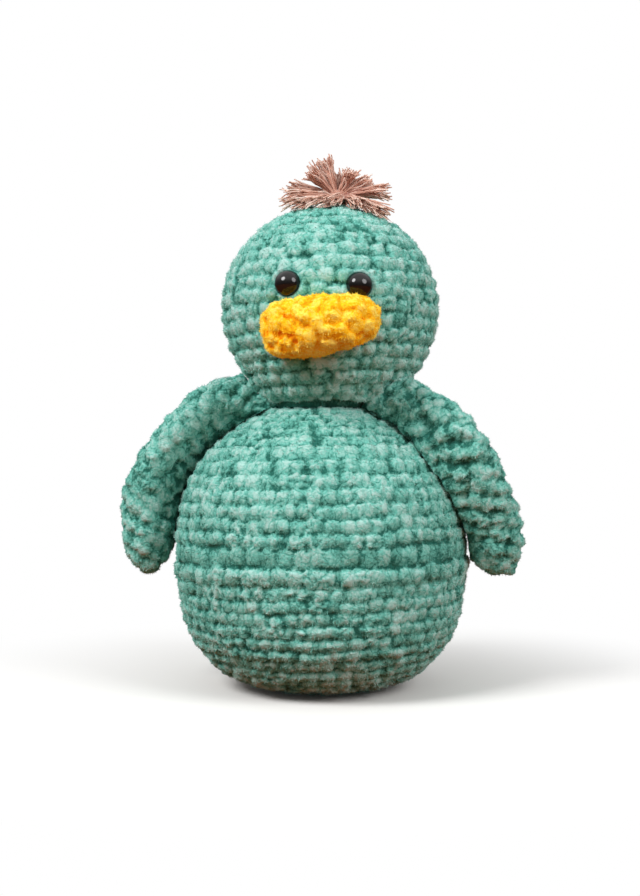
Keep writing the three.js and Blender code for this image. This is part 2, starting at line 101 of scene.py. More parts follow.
# %% One small helper that adds a node with its settings and its links
MATH, VECTOR_MATH, MAP_RANGE = "ShaderNodeMath", "ShaderNodeVectorMath", "ShaderNodeMapRange"
NOISE, RANDOM_VALUE = "ShaderNodeTexNoise", "FunctionNodeRandomValue"


# An input is a plain value, a socket to link, or a node, whose first output in use is then linked
def add(tree, kind, inputs=(), **settings):
    node = tree.nodes.new(kind)
    for name, value in settings.items():
        setattr(node, name, value)
    for socket, value in inputs.items() if isinstance(inputs, dict) else enumerate(inputs):
        if isinstance(value, bpy.types.Node):
            value = next(output for output in value.outputs if output.enabled)
        if isinstance(value, bpy.types.NodeSocket):
            tree.links.new(value, node.inputs[socket])
        else:
            node.inputs[socket].default_value = value
    return node


# %% Colours are written as sRGB hex and turned linear once, here
def colour(hex_code):
    parts = [int(hex_code[i:i + 2], 16) / 255 for i in (1, 3, 5)]
    linear = [p / 12.92 if p <= 0.04045 else ((p + 0.055) / 1.055) ** 2.4 for p in parts]
    return (*linear, 1.0)


WHITE = colour("#FFFFFF")


# %% Lamps
def soft_lamp(name, place, target, width, power):
    data = bpy.data.lights.new(name, "AREA")
    data.shape = "DISK"
    data.size = width
    data.energy = power
    lamp = bpy.data.objects.new(name, data)
    lamp.location = place
    lamp.rotation_euler = (Vector(target) - Vector(place)).to_track_quat("-Z", "Y").to_euler()
    bpy.context.scene.collection.objects.link(lamp)
    print(name, "stands in mm at:", [round(v / MM) for v in place])


breast = (0, 0, 110 * MM)
soft_lamp("key_lamp", place=(-0.66, -0.6, 0.78), target=breast, width=0.5, power=10.4)
soft_lamp("fill_lamp", place=(0.68, -0.62, 0.6), target=breast, width=0.6, power=5.8)

# %% World: white for the camera, dim for the duck's pile, and a room for polished plastic to mirror
world = bpy.data.worlds.new("plain_world")
world.use_nodes = True
bpy.context.scene.world = world
world.node_tree.nodes.clear()
put = partial(add, world.node_tree)
rays = put("ShaderNodeLightPath").outputs
way = put("ShaderNodeTexCoord").outputs["Generated"]
height = put("ShaderNodeSeparateXYZ", [way]).outputs["Z"]
# The mirrored room is bright overhead and dim at the height of the table
overhead = put(MAP_RANGE, {"Value": height, "From Min": 0.1, "From Max": 0.8, "To Min": 0.15, "To Max": 1.3},
               interpolation_type="SMOOTHSTEP")
light_sky = put("ShaderNodeBackground", {"Color": WHITE, "Strength": 0.45})
room = put("ShaderNodeBackground", {"Color": WHITE, "Strength": overhead})
white_sky = put("ShaderNodeBackground", {"Color": WHITE, "Strength": 1.0})
either = put("ShaderNodeMixShader", [rays["Is Glossy Ray"], light_sky, room])
either = put("ShaderNodeMixShader", [rays["Is Camera Ray"], either, white_sky])
put("ShaderNodeOutputWorld", {"Surface": either})


# %% New meshes and new materials
def mesh_object(name, points, faces, edges=()):
    mesh = bpy.data.meshes.new(name)
    mesh.from_pydata([tuple(p) for p in points], edges, [tuple(f) for f in faces])
    mesh.update()
    made = bpy.data.objects.new(name, mesh)
    bpy.context.scene.collection.objects.link(made)
    return made


def empty_material(name):
    made = bpy.data.materials.new(name)
    made.use_nodes = True
    made.node_tree.nodes.clear()
    return made, partial(add, made.node_tree)


# %% Floor: white paper that keeps the duck's soft shadow and fades to plain white further out
FLOOR_HALF = 3000 * MM
FADE_FROM, FADE_TO = 60 * MM, 200 * MM
corners = [(x * FLOOR_HALF, y * FLOOR_HALF, 0) for x, y in ((-1, -1), (1, -1), (1, 1), (-1, 1))]
floor = mesh_object("floor", corners, [(0, 1, 2, 3)])
paper, put = empty_material("white_paper")
# The camera sees white paper, but the duck is lit as if on a brown table, which warms its underside
seen_paper = put("ShaderNodeBsdfDiffuse", {"Color": colour("#FBFAF8")})
plain_white = put("ShaderNodeEmission", {"Color": WHITE, "Strength": 1.0})
place = put("ShaderNodeTexCoord").outputs["Object"]
away = put(VECTOR_MATH, [place], operation="LENGTH")
fade = put(MAP_RANGE, {"Value": away, "From Min": FADE_FROM, "From Max": FADE_TO},
           interpolation_type="SMOOTHSTEP")
seen_floor = put("ShaderNodeMixShader", [fade, seen_paper, plain_white])
brown_table = put("ShaderNodeBsdfDiffuse", {"Color": colour("#994E28")})
rays = put("ShaderNodeLightPath").outputs
shown = put("ShaderNodeMixShader", [rays["Is Camera Ray"], brown_table, seen_floor])
put("ShaderNodeOutputMaterial", {"Surface": shown})
floor.data.materials.append(paper)
print("floor:", floor.name, "in", paper.name)

# %% [markdown]
# ## Finishes
# Chenille yarn is a velvet: seen along its surface its fibre tips catch the light and go pale, and seen
# into a crease it goes deep and dark. One attribute paints that light and shade, because it holds in every
# view: "shade" is painted shade and highlight, saying how deep a point lies between the stitches and how
# pale its own fibres are, and a ramp of three dyes reads it. The sheen of the shader adds the pale edge.

# %% Plush yarn, for both colours of yarn
# Real fibre ends are finer, and these are as coarse as shows
FIBRE_END = 0.5 * MM
# Flecks are single tufts of pile: their size, and how far each goes paler or deeper
FLECK_SIZE = 0.9 * MM
FLECKS = 0.15
# Partings are the fine dark lines that wander between the pile's clumps, darkened as painted shade: a line is
# this share of a clump wide
PARTING_SIZE = 4.2 * MM
PARTING_WIDTH = 0.09
PARTING_SHADE = 0.24
PARTING_RELIEF = 1.5


# The dyes are given from the ends of the ramp inwards, because a new ramp has two stops
def set_dyes(ramp, *dyes):
    stops = ramp.color_ramp.elements
    for number, (place, hex_code) in enumerate(dyes):
        stop = stops[number] if number < 2 else stops.new(place)
        stop.position, stop.color = place, colour(hex_code)


def plush_yarn(name, deep, middle, pale, sheen_tint):
    made, put = empty_material(name)
    place = put("ShaderNodeTexCoord").outputs["Object"]
    flecks = put(NOISE, {"Vector": place, "Scale": 1 / FLECK_SIZE, "Detail": 2.0})
    flecks = put(MAP_RANGE, {"Value": flecks, "From Min": 0.3, "From Max": 0.7, "To Min": -FLECKS,
                             "To Max": FLECKS})
    wander = put(NOISE, {"Vector": place, "Scale": 1 / PARTING_SIZE, "Detail": 2.0}).outputs["Color"]
    wander = put(VECTOR_MATH, [wander, (PARTING_SIZE,) * 3, place], operation="MULTIPLY_ADD")
    partings = put("ShaderNodeTexVoronoi", {"Vector": wander, "Scale": 1 / PARTING_SIZE},
                   feature="DISTANCE_TO_EDGE")
    partings = put(MAP_RANGE, {"Value": partings, "From Max": PARTING_WIDTH, "To Min": -PARTING_SHADE,
                               "To Max": 0.0})
    fine = put(MATH, [flecks, partings], operation="ADD")
    shade = put("ShaderNodeAttribute", attribute_name="shade").outputs["Fac"]
    shade = put(MATH, [shade, fine], operation="ADD")
    ramp = put("ShaderNodeValToRGB", {"Fac": shade})
    set_dyes(ramp, (0.1, deep), (0.9, pale), (0.5, middle))
    ends = put(NOISE, {"Vector": place, "Scale": 1 / FIBRE_END, "Detail": 3.0})
    relief = put(MATH, [partings, PARTING_RELIEF, ends], operation="MULTIPLY_ADD")
    bump = put("ShaderNodeBump", {"Height": relief, "Strength": 0.6, "Distance": 0.4 * MM})
    shader = put("ShaderNodeBsdfPrincipled", {
        "Base Color": ramp, "Normal": bump, "Roughness": 0.85, "Specular IOR Level": 0.15,
        "Sheen Weight": 0.15, "Sheen Roughness": 0.4, "Sheen Tint": colour(sheen_tint)})
    put("ShaderNodeOutputMaterial", {"Surface": shader})
    return made


mint_yarn = plush_yarn("mint_chenille_yarn", "#2B7063", "#6BB8AA", "#A6D1C9", "#C4E2DD")
yellow_yarn = plush_yarn("yellow_chenille_yarn", "#F79A08", "#FFC914", "#FFE564", "#FFDC70")
print("materials:", mint_yarn.name, yellow_yarn.name)

# %% [markdown]
# ## Forms as grids of rings
# Every stuffed piece of the toy is a closed bag that swells and tapers. Each one is drawn here as a grid:
# rings of points, from one end of the piece to the other. A stitch then only needs to know how far along
# the piece and how far round it lies, and the same stitching code serves the ball of the body and the
# bent tube of a wing. The body and the head take their sizes from the frame's boxes, and the outlines are
# a few shares of the pattern.

# %% Rings and lines
RING_POINTS = 96
LINE_STEPS = 24
# A ring at a pole keeps this small radius, so that it still knows which way is out
POLE_RADIUS = 0.2 * MM
turns = np.linspace(0, 2 * np.pi, RING_POINTS, endpoint=False)


# A Catmull-Rom curve through the points
def smooth_line(points, count):
    p = np.array(points, float)
    p = np.vstack([p[:1], p, p[-1:]])
    t = np.linspace(0, 1, LINE_STEPS, endpoint=False)[:, None]
    parts = []
    for a, b, c, d in zip(p, p[1:], p[2:], p[3:]):
        bend = 2 * b + (c - a) * t + (2 * a - 5 * b + 4 * c - d) * t ** 2 + (3 * b - a - 3 * c + d) * t ** 3
        parts.append(bend / 2)
    return evenly(np.vstack([*parts, p[-1:]]), count)


def run_along(line):
    return np.concatenate([[0], np.cumsum(np.linalg.norm(np.diff(line, axis=0), axis=1))])


def evenly(line, count):
    run = run_along(line)
    at = np.linspace(0, run[-1], count)
    return np.stack([np.interp(at, run, line[:, k]) for k in range(line.shape[1])], 1)


def lathed(profile, middle):
    radius, height = profile[:, :1], profile[:, 1:]
    rings = np.stack([radius * np.cos(turns), radius * np.sin(turns), height + 0 * turns], -1)
    return rings + np.array(middle)


def unit(vectors):
    return vectors / np.maximum(np.linalg.norm(vectors, axis=-1, keepdims=True), 1e-12)


# %% The body: a wide stuffed ball on a flat foot, drawn in to the neck
FOOT_RADIUS = 20 * MM
BODY_NECK_RADIUS = 22 * MM
BODY_OUTLINE = [(0.627, 0.045), (0.808, 0.127), (0.945, 0.253), (1.0, 0.48), (0.979, 0.615),
                (0.921, 0.724), (0.796, 0.833), (0.663, 0.905), (0.515, 0.959)]
FOOT_POINTS, SIDE_POINTS, NECK_POINTS = 24, 140, 20
BODY_RINGS = 200
body_low, body_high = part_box("body_cover")
BODY_RADIUS = (body_high.x - body_low.x) / 2
BODY_HEIGHT = body_high.z

body_side = smooth_line([(FOOT_RADIUS, 0), *[(r * BODY_RADIUS, z * BODY_HEIGHT) for r, z in BODY_OUTLINE],
                         (BODY_NECK_RADIUS, BODY_HEIGHT)], SIDE_POINTS)
foot_line = np.linspace((POLE_RADIUS, 0), (FOOT_RADIUS, 0), FOOT_POINTS)
neck_line = np.linspace((BODY_NECK_RADIUS, BODY_HEIGHT), (POLE_RADIUS, BODY_HEIGHT), NECK_POINTS)
body_profile = evenly(np.vstack([foot_line[:-1], body_side, neck_line[1:]]), BODY_RINGS)
body_grid = lathed(body_profile, (0, 0, 0))

# %% The head: an egg that stands on its neck edge
HEAD_RISE = 40.5 * MM
HEAD_DROP = 44 * MM
HEAD_NECK_HEIGHT = 36.3 * MM
HEAD_SIDE_POINTS = 150
HEAD_RINGS = 180
CROWN_GAP = 0.004
head_low, head_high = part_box("head_cover")
HEAD_RADIUS = (head_high.y - head_low.y) / 2
HEAD_MIDDLE = np.array([(head_low.x + head_high.x) / 2, 0, head_low.z + HEAD_NECK_HEIGHT])

neck_angle = -math.asin(HEAD_NECK_HEIGHT / HEAD_DROP)
head_angles = np.linspace(neck_angle, math.pi / 2 - CROWN_GAP, HEAD_SIDE_POINTS)
head_side = np.stack([HEAD_RADIUS * np.cos(head_angles),
                      np.where(head_angles < 0, HEAD_DROP, HEAD_RISE) * np.sin(head_angles)], 1)
head_under = np.linspace((POLE_RADIUS, head_side[0, 1]), head_side[0], NECK_POINTS)
head_profile = evenly(np.vstack([head_under[:-1], head_side]), HEAD_RINGS)
head_grid = lathed(head_profile, HEAD_MIDDLE)
print("body and head radius in mm:", round(BODY_RADIUS / MM, 1), round(HEAD_RADIUS / MM, 1))

# %% The beak: a plump bar with round ends, a little taller at its right end
BEAK_HALF = np.array([21, 10.6, 17]) * MM
BEAK_SQUARENESS = 2.7
BEAK_TAPER = 0.12
BEAK_DROP = 10.7 * MM
BEAK_TURN = math.radians(5.2)
BEAK_PITCH = math.radians(6)
BEAK_ROLL = math.radians(7)
BEAK_RINGS = 90
BEAK_END_GAP = 0.01

upright = np.array([0, 0, 1])
beak_ahead = np.array([-math.sin(BEAK_TURN), -math.cos(BEAK_TURN), 0])
beak_left = np.cross(upright, beak_ahead)
beak_out = beak_ahead * math.cos(BEAK_PITCH) - upright * math.sin(BEAK_PITCH)
beak_up = np.cross(beak_out, beak_left)
beak_level = HEAD_RADIUS * math.sqrt(1 - (BEAK_DROP / HEAD_DROP) ** 2)
BEAK_ROOT = HEAD_MIDDLE + beak_ahead * beak_level - upright * BEAK_DROP
beak_axes = np.array([beak_left * math.cos(BEAK_ROLL) + beak_up * math.sin(BEAK_ROLL),
                      beak_up * math.cos(BEAK_ROLL) - beak_left * math.sin(BEAK_ROLL), beak_out])


# Directions from the beak's middle, to its left, up and out, and the points where they leave its form
def on_beak(way, half):
    local = way * (np.abs(way) ** BEAK_SQUARENESS).sum(-1, keepdims=True) ** (-1 / BEAK_SQUARENESS) * half
    local[:, 1] *= 1 - BEAK_TAPER * local[:, 0] / BEAK_HALF[0]
    return BEAK_ROOT + local @ beak_axes[:len(half)]


def beak_ring(height_angle):
    way = np.stack([math.cos(height_angle) * np.cos(turns), math.sin(height_angle) + 0 * turns,
                    -math.cos(height_angle) * np.sin(turns)], -1)
    return on_beak(way, BEAK_HALF)


top_angle = math.pi / 2 - BEAK_END_GAP
beak_grid = np.array([beak_ring(a) for a in np.linspace(-top_angle, top_angle, BEAK_RINGS)])
print("beak's root in mm:", np.round(BEAK_ROOT / MM, 1))

# %% The wings: bent tubes that hang from the shoulders, flat across the root and fuller towards the tip
WING_WIDTH = 26 * MM
WING_THICKNESS = 18 * MM
WING_TIP_LENGTH = 14 * MM
SEAM_YARN = 4 * MM
SEAM_HEIGHT_SHARE = 0.985
CLEARANCE = 0.3 * MM
WING_LINE_POINTS = 120
WING_RINGS, TIP_RINGS = 90, 20
TIP_GAP = 0.03
# The swell of a wing: shares of its length, of its width and of its thickness
WING_SWELL = np.array([(0, 0.5, 0.6), (0.07, 0.64, 0.86), (0.14, 0.78, 0.9), (0.24, 0.94, 0.86),
                       (0.36, 1, 0.84), (0.5, 0.98, 0.87), (0.64, 0.9, 0.96), (0.78, 0.87, 1),
                       (1, 0.84, 0.96)])
# Each wing: its side, the turn of its shoulder, how far it faces back at its root and tip, and its middle
# line as shares of the body's height, distances off the body in wing thicknesses and turns forward in degrees
WINGS = {
    "wing_left": (1, 33, (18, 22), [
        (0.937, 0.411, 27), (0.89, 0.453, 28.5), (0.827, 0.516, 28.4), (0.768, 0.5, 26.2),
        (0.684, 0.484, 20.4), (0.585, 0.537, 14), (0.478, 0.589, 10), (0.42, 0.611, 8.5)]),
    "wing_right": (-1, 0, (88, 86), [
        (0.931, 0.66, 0), (0.878, 0.7, 0), (0.797, 0.758, 0), (0.724, 0.805, 0),
        (0.645, 0.779, 0), (0.551, 0.663, 0), (0.475, 0.605, 0), (0.42, 0.589, 0)]),
}


def off_body(share, distance, turn, side):
    radius, height = (np.interp(share * BODY_HEIGHT, body_side[:, 1], body_side[:, k]) for k in (0, 1))
    slope = np.gradient(body_side, axis=0)
    slope = unit(np.array([np.interp(share * BODY_HEIGHT, body_side[:, 1], slope[:, k]) for k in (0, 1)]))
    reach, turn = radius + distance * slope[1], math.radians(turn)
    return np.array([side * reach * math.cos(turn), -reach * math.sin(turn), height - distance * slope[0]])


# The middle of a wing's seam, and the way in which the wing leaves it
def shoulder(side, shoulder_turn):
    turn = math.radians(shoulder_turn)
    outward = np.array([side * math.cos(turn), -math.sin(turn), 0])
    return off_body(SEAM_HEIGHT_SHARE, SEAM_YARN / 2 + CLEARANCE, shoulder_turn, side), outward


# %% Rings round a wing's middle line
def wing_rings(side, shoulder_turn, facing, path):
    pivot, outward = shoulder(side, shoulder_turn)
    start = pivot + outward * (SEAM_YARN / 2 + CLEARANCE)
    line = smooth_line([start, *[off_body(s, d * WING_THICKNESS, t, side) for s, d, t in path]],
                       WING_LINE_POINTS)
    round_from = 1 - WING_TIP_LENGTH / run_along(line)[-1]
    tip = np.sin(np.linspace(0, np.pi / 2 - TIP_GAP, TIP_RINGS))
    shares = np.concatenate([np.linspace(0, round_from, WING_RINGS, endpoint=False),
                             round_from + (1 - round_from) * tip])
    at = np.linspace(0, 1, WING_LINE_POINTS)
    middles, alongs = (np.stack([np.interp(shares, at, values[:, k]) for k in range(3)], 1)
                       for values in (line, unit(np.gradient(line, axis=0))))
    rings = []
    for share, middle, along in zip(shares, middles, unit(alongs)):
        face = math.radians(facing[0] + (facing[1] - facing[0]) * share)
        back = unit(np.array([0, 1, 0]) - along * along[1])
        broad = np.cross(back, along) * side * math.cos(face) + back * math.sin(face)
        thin = np.cross(along, broad)
        past = max(0, (share - round_from) / (1 - round_from))
        left = math.sqrt(1 - past * past)
        half = [np.interp(share, WING_SWELL[:, 0], WING_SWELL[:, k]) * size / 2 * left
                for k, size in ((1, WING_WIDTH), (2, WING_THICKNESS))]
        across = half[0] * np.cos(turns)[:, None] * broad
        rings.append(middle + across + half[1] * np.sin(turns)[:, None] * thin)
    return np.array(rings)


wing_grids = {name: wing_rings(*shape) for name, shape in WINGS.items()}
for name, grid in wing_grids.items():
    low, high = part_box(name + "_cover")
    print(name, "form against its CAD box in mm:", np.round((grid.min((0, 1)) - np.array(low)) / MM, 1),
          np.round((grid.max((0, 1)) - np.array(high)) / MM, 1))

# %% [markdown]
# ## Rounds of stitches
# A toy like this is one long spiral: each stitch sits on one of the round below, and a round gains or loses
# stitches only where the ball swells or narrows. So the rounds are laid first, a stitch's height apart
# along the form, and each gets as many stitches as its circumference holds. What this makes is only a cloud
# of guide points, each knowing which way is out, which way the yarn runs and how large its stitch is.

# %% Places on a form
STITCH_WIDTH = 5.9 * MM
STITCH_HEIGHT = 5.35 * MM
# The fewest stitches in a round, and rounds gain or lose stitches in multiples of this
ROUND_STEP = 6
# A round is at its own height after this share of its stitches, which is near the front
FRONT_TURN = 0.75
NEARBY_TURN = 0.004
# A calm round is pulled tight: it is thinner, and a little deeper in shade
CALM_FLATNESS = 0.3
CALM_DEPTH = 0.5
# Rows pulled by hand are never quite level: the height of their waves, how many go round, and their drift
WAVE_HEIGHT = 0.5 * MM
WAVES = ((4, 0.7), (9, 1.3))
# How far stitches stray round the piece, up it, in tone and in lean
UNEVEN_TURN, UNEVEN_LEVEL, UNEVEN_TONE, UNEVEN_LEAN = 0.09, 0.06, 0.4, 0.7


def at_place(grid, row, turn):
    low = min(max(int(row), 0), len(grid) - 2)
    first = math.floor(turn * RING_POINTS) % RING_POINTS
    up, on = row - low, turn * RING_POINTS % 1
    near, far = (grid[k, first] * (1 - on) + grid[k, (first + 1) % RING_POINTS] * on for k in (low, low + 1))
    return near * (1 - up) + far * up


def ring_gaps(grid):
    return np.linalg.norm(np.diff(grid, axis=0), axis=2).mean(1)


# %% Guide points in a spiral over a form
def spiral_guides(grid, grooves, width, lean, seed, sink, calm_round=None, stagger=0.0):
    draw = np.random.default_rng(seed)
    run = np.concatenate([[0], np.cumsum(ring_gaps(grid))])
    around = np.linalg.norm(np.roll(grid, -1, axis=1) - grid, axis=2).sum(1)
    guides, begun = [], 0.0
    for number, (low, high) in enumerate(zip(grooves, grooves[1:])):
        middle, height = (low + high) / 2, high - low
        length = np.interp(middle, run, around)
        calm = float(number == calm_round)
        count = max(ROUND_STEP, ROUND_STEP * round(length / width / ROUND_STEP))
        thickness = min(length / count, height) * (1 - CALM_FLATNESS * calm)
        turned = 1 + lean / count
        for k in range(count):
            turn = (begun + turned * (k + draw.normal(0, UNEVEN_TURN)) / count) % 1
            level = middle + STITCH_HEIGHT * (k / count - FRONT_TURN) + draw.normal(0, UNEVEN_LEVEL) * height
            level += stagger * height * (-1) ** k
            level += sum(WAVE_HEIGHT / 2 * math.sin(2 * math.pi * often * turn + drift * number + seed)
                         for often, drift in WAVES)
            row = np.interp(level, run, np.arange(len(grid)))
            place = at_place(grid, row, turn)
            along = at_place(grid, row, turn + NEARBY_TURN) - at_place(grid, row, turn - NEARBY_TURN)
            up = at_place(grid, row + 0.5, turn) - at_place(grid, row - 0.5, turn)
            out = np.cross(along, up)
            out, along = out / np.linalg.norm(out), along / np.linalg.norm(along)
            tone = draw.normal(0, UNEVEN_TONE) - CALM_DEPTH * calm
            guides.append((place - out * sink, out, along, (length / count, height, thickness), tone,
                           draw.normal(0, UNEVEN_LEAN), calm))
        begun += turned
    return guides


# One more stitch closes the hole in which a spiral ends
def end_stitch(grid, row, beside, size, sink):
    middle = grid[row].mean(0)
    out, along = unit(middle - grid[beside].mean(0)), unit(grid[row, 0] - middle)
    return middle - out * sink, out, along, size, 0.0, 0.0, 0.0


# %% The guide points as a mesh whose fields the trees below read
GUIDE_FIELDS = {"out": "FLOAT_VECTOR", "along": "FLOAT_VECTOR", "size": "FLOAT_VECTOR",
                "tone": "FLOAT", "lean": "FLOAT", "calm": "FLOAT"}


def guide_object(guides):
    made = mesh_object("guides", [guide[0] for guide in guides], [])
    for column, (field, kind) in enumerate(GUIDE_FIELDS.items(), 1):
        values = np.array([guide[column] for guide in guides], np.float32).ravel()
        stored = made.data.attributes.new(field, kind, "POINT")
        stored.data.foreach_set("value" if kind == "FLOAT" else "vector", values)
    made.hide_render = True
    return made


# %% [markdown]
# A Geometry Nodes tree puts a stitch on every guide. In thick chenille the V of a stitch closes up, and what
# shows is one plump puff whose head stands proud of the round above it. The dark holes are what the puffs
# leave open at their corners; their dark is partly their real depth and partly painted shade. The tree
# tumbles each one a little and gives it its own size from a fixed seed, because hand work is never quite
# even.

# %% Starting a tree with named inputs, and running it to a plain mesh
NAMED, STORE = "GeometryNodeInputNamedAttribute", "GeometryNodeStoreNamedAttribute"
SET_POSITION, SET_MATERIAL = "GeometryNodeSetPosition", "GeometryNodeSetMaterial"
INSTANCES, REALIZE = "GeometryNodeInstanceOnPoints", "GeometryNodeRealizeInstances"
POSITION, SAMPLE = "GeometryNodeInputPosition", "GeometryNodeSampleIndex"
BLUR = "GeometryNodeBlurAttribute"


def start_tree(name, **kinds):
    tree = bpy.data.node_groups.new(name, "GeometryNodeTree")
    for title, kind in kinds.items():
        tree.interface.new_socket(title, in_out="INPUT", socket_type="NodeSocket" + kind)
    tree.interface.new_socket("Geometry", in_out="OUTPUT", socket_type="NodeSocketGeometry")
    return tree, partial(add, tree), add(tree, "NodeGroupInput").outputs


def put_tree(made, tree, **values):
    modifier = made.modifiers.new(tree.name, "NODES")
    modifier.node_group = tree
    for item in tree.interface.items_tree:
        if item.name in values:
            modifier[item.identifier] = values[item.name]


def plain_result(name, made):
    bpy.context.view_layer.update()
    depsgraph = bpy.context.evaluated_depsgraph_get()
    mesh = bpy.data.meshes.new_from_object(made.evaluated_get(depsgraph), preserve_all_data_layers=True,
                                           depsgraph=depsgraph)
    mesh.name = name
    result = bpy.data.objects.new(name, mesh)
    bpy.context.scene.collection.objects.link(result)
    bpy.data.objects.remove(made)
    return result


# %% The tree that places the stitches
# A puff lies between a block, at a roundness of 0, and a ball, at 1
PUFF_POINTS = 5
PUFF_ROUNDNESS = 0.66
PUFF_TILT = math.radians(18)
stitch_tree, put, given = start_tree(
    "rounds_of_stitches", Core="Geometry", Guides="Object", Plumpness="Float", Unevenness="Float",
    Tumble="Float", Shares="Vector", Seed="Int")
guide_points = put("GeometryNodeObjectInfo", {"Object": given["Guides"]}).outputs["Geometry"]
block = put("GeometryNodeMeshCube", {"Size": (2.0, 2.0, 2.0), "Vertices X": PUFF_POINTS,
                                     "Vertices Y": PUFF_POINTS, "Vertices Z": PUFF_POINTS})
place = put(POSITION)
ball = put(VECTOR_MATH, [place], operation="NORMALIZE")
between = put("ShaderNodeMix", {"Factor": PUFF_ROUNDNESS, 4: place, 5: ball}, data_type="VECTOR")
puff = put(SET_POSITION, {"Geometry": block, "Position": between})
stitch = put("GeometryNodeTransform", {"Geometry": puff, "Rotation": (PUFF_TILT, 0.0, 0.0),
                                       "Scale": given["Shares"]})
out, along, size = (put(NAMED, {"Name": title}, data_type="FLOAT_VECTOR")
                    for title in ("out", "along", "size"))
facing = put("FunctionNodeAlignRotationToVector", {"Vector": out}, axis="Z")
facing = put("FunctionNodeAlignRotationToVector", {"Rotation": facing, "Vector": along}, axis="X",
             pivot_axis="Z")
wobble = put(RANDOM_VALUE, {0: (-1.0, -1.0, -1.0), 1: (1.0, 1.0, 1.0), "Seed": given["Seed"]},
             data_type="FLOAT_VECTOR")
wobble = put(VECTOR_MATH, {0: wobble, "Scale": given["Tumble"]}, operation="SCALE")
wobble = put("FunctionNodeEulerToRotation", [wobble])
facing = put("FunctionNodeRotateRotation", {"Rotation": facing, "Rotate By": wobble}, rotation_space="LOCAL")
smallest = put(MATH, [1.0, given["Unevenness"]], operation="SUBTRACT")
largest = put(MATH, [1.0, given["Unevenness"]], operation="ADD")
next_seed = put(MATH, [given["Seed"], 1.0], operation="ADD")
growth = put(RANDOM_VALUE, {2: smallest, 3: largest, "Seed": next_seed}, data_type="FLOAT")
plump = put(MATH, [growth, given["Plumpness"]], operation="MULTIPLY")
scale = put(VECTOR_MATH, {0: size, "Scale": plump}, operation="SCALE")
placed = put(INSTANCES, {"Points": guide_points, "Instance": stitch, "Rotation": facing, "Scale": scale})
joined = put("GeometryNodeJoinGeometry", {"Geometry": put(REALIZE, {"Geometry": placed})})
stitch_tree.links.new(given["Core"], joined.inputs["Geometry"])
put("NodeGroupOutput", {"Geometry": joined})
print("nodes that place the stitches:", len(stitch_tree.nodes))

# %% [markdown]
# ## Crushed pile
# The stitches and the core under them are melted into one skin by a voxel remesh, as the yarn's pile melts
# them together on the toy. A second tree then crushes that skin into small clumps and reads off it what the
# colours need. "crevice" compares each point with a blurred copy of the skin: below it is a crevice, above
# it is a crest, and crevices are painted deeper and crests paler, as painted shade and highlight. "tone" is
# the stitch's own shade. "shade" sums these with the clumps into one number.

# %% What the nearest stitch says of a point: how far across and up it lies, and the stitch's own tone
MELT_STEPS = 2
skin_tree, put, given = start_tree(
    "crushed_pile_skin", Skin="Geometry", Guides="Object", Clump_height="Float", Groove="Float",
    Lightness="Float", Material="Material")
position = put(POSITION)
normal = put("GeometryNodeInputNormal")
guide_points = put("GeometryNodeObjectInfo", {"Object": given["Guides"]}).outputs["Geometry"]
nearest = put("GeometryNodeSampleNearest", {"Geometry": guide_points}, domain="POINT")
fields = {"place": (position, "FLOAT_VECTOR")}
for title, kind in GUIDE_FIELDS.items():
    fields[title] = put(NAMED, {"Name": title}, data_type=kind), kind
of_stitch = {}
for title, (field, kind) in fields.items():
    of_stitch[title] = put(SAMPLE, {"Geometry": guide_points, "Value": field, "Index": nearest},
                           data_type=kind, domain="POINT")
melted = put(BLUR, {"Value": position, "Iterations": MELT_STEPS}, data_type="FLOAT_VECTOR")
skin = put(SET_POSITION, {"Geometry": given["Skin"], "Position": melted})
offset = put(VECTOR_MATH, [position, of_stitch["place"]], operation="SUBTRACT")
up = put(VECTOR_MATH, [of_stitch["out"], of_stitch["along"]], operation="CROSS_PRODUCT")
size = put("ShaderNodeSeparateXYZ", [of_stitch["size"]]).outputs
across, rise = (put(VECTOR_MATH, [offset, way], operation="DOT_PRODUCT")
                for way in (of_stitch["along"], up))
across = put(MATH, [across, size["X"]], operation="DIVIDE")
rise = put(MATH, [rise, size["Y"]], operation="DIVIDE")
kept = {"across": across, "rise": rise, **{title: of_stitch[title] for title in ("tone", "lean", "calm")}}
for title, value in kept.items():
    skin = put(STORE, {"Geometry": skin, "Name": title, "Value": value}, data_type="FLOAT", domain="POINT")
across, rise, tone, lean, calm = (put(NAMED, {"Name": title}, data_type="FLOAT") for title in kept)

# %% Grooves and holes between the stitches
# A groove begins and is deepest this far from a stitch's middle, in shares of its width and of its height
GROOVE_BESIDE = (0.36, 0.52)
GROOVE_UNDER = (0.4, 0.52)
# Beside a stitch the groove is shallower than under it, and the holes lie under a stitch at its corners
BESIDE_SHARE = 0.85
HOLE_UNDER = (-0.33, -0.5)
beside, under = (put(MAP_RANGE, {"Value": put(MATH, [way], operation="ABSOLUTE"), "From Min": begins,
                                 "From Max": deepest}, interpolation_type="SMOOTHSTEP")
                 for way, (begins, deepest) in ((across, GROOVE_BESIDE), (rise, GROOVE_UNDER)))
groove = put(MATH, [put(MATH, [beside, BESIDE_SHARE], operation="MULTIPLY"), under], operation="MAXIMUM")
corner = put(MATH, [beside, BESIDE_SHARE, 1 - BESIDE_SHARE], operation="MULTIPLY_ADD")
corner = put(MATH, [corner, calm], operation="MAXIMUM")
lower = put(MAP_RANGE, {"Value": rise, "From Min": HOLE_UNDER[0], "From Max": HOLE_UNDER[1]},
            interpolation_type="SMOOTHSTEP")
hole = put(MATH, [corner, lower], operation="MULTIPLY")

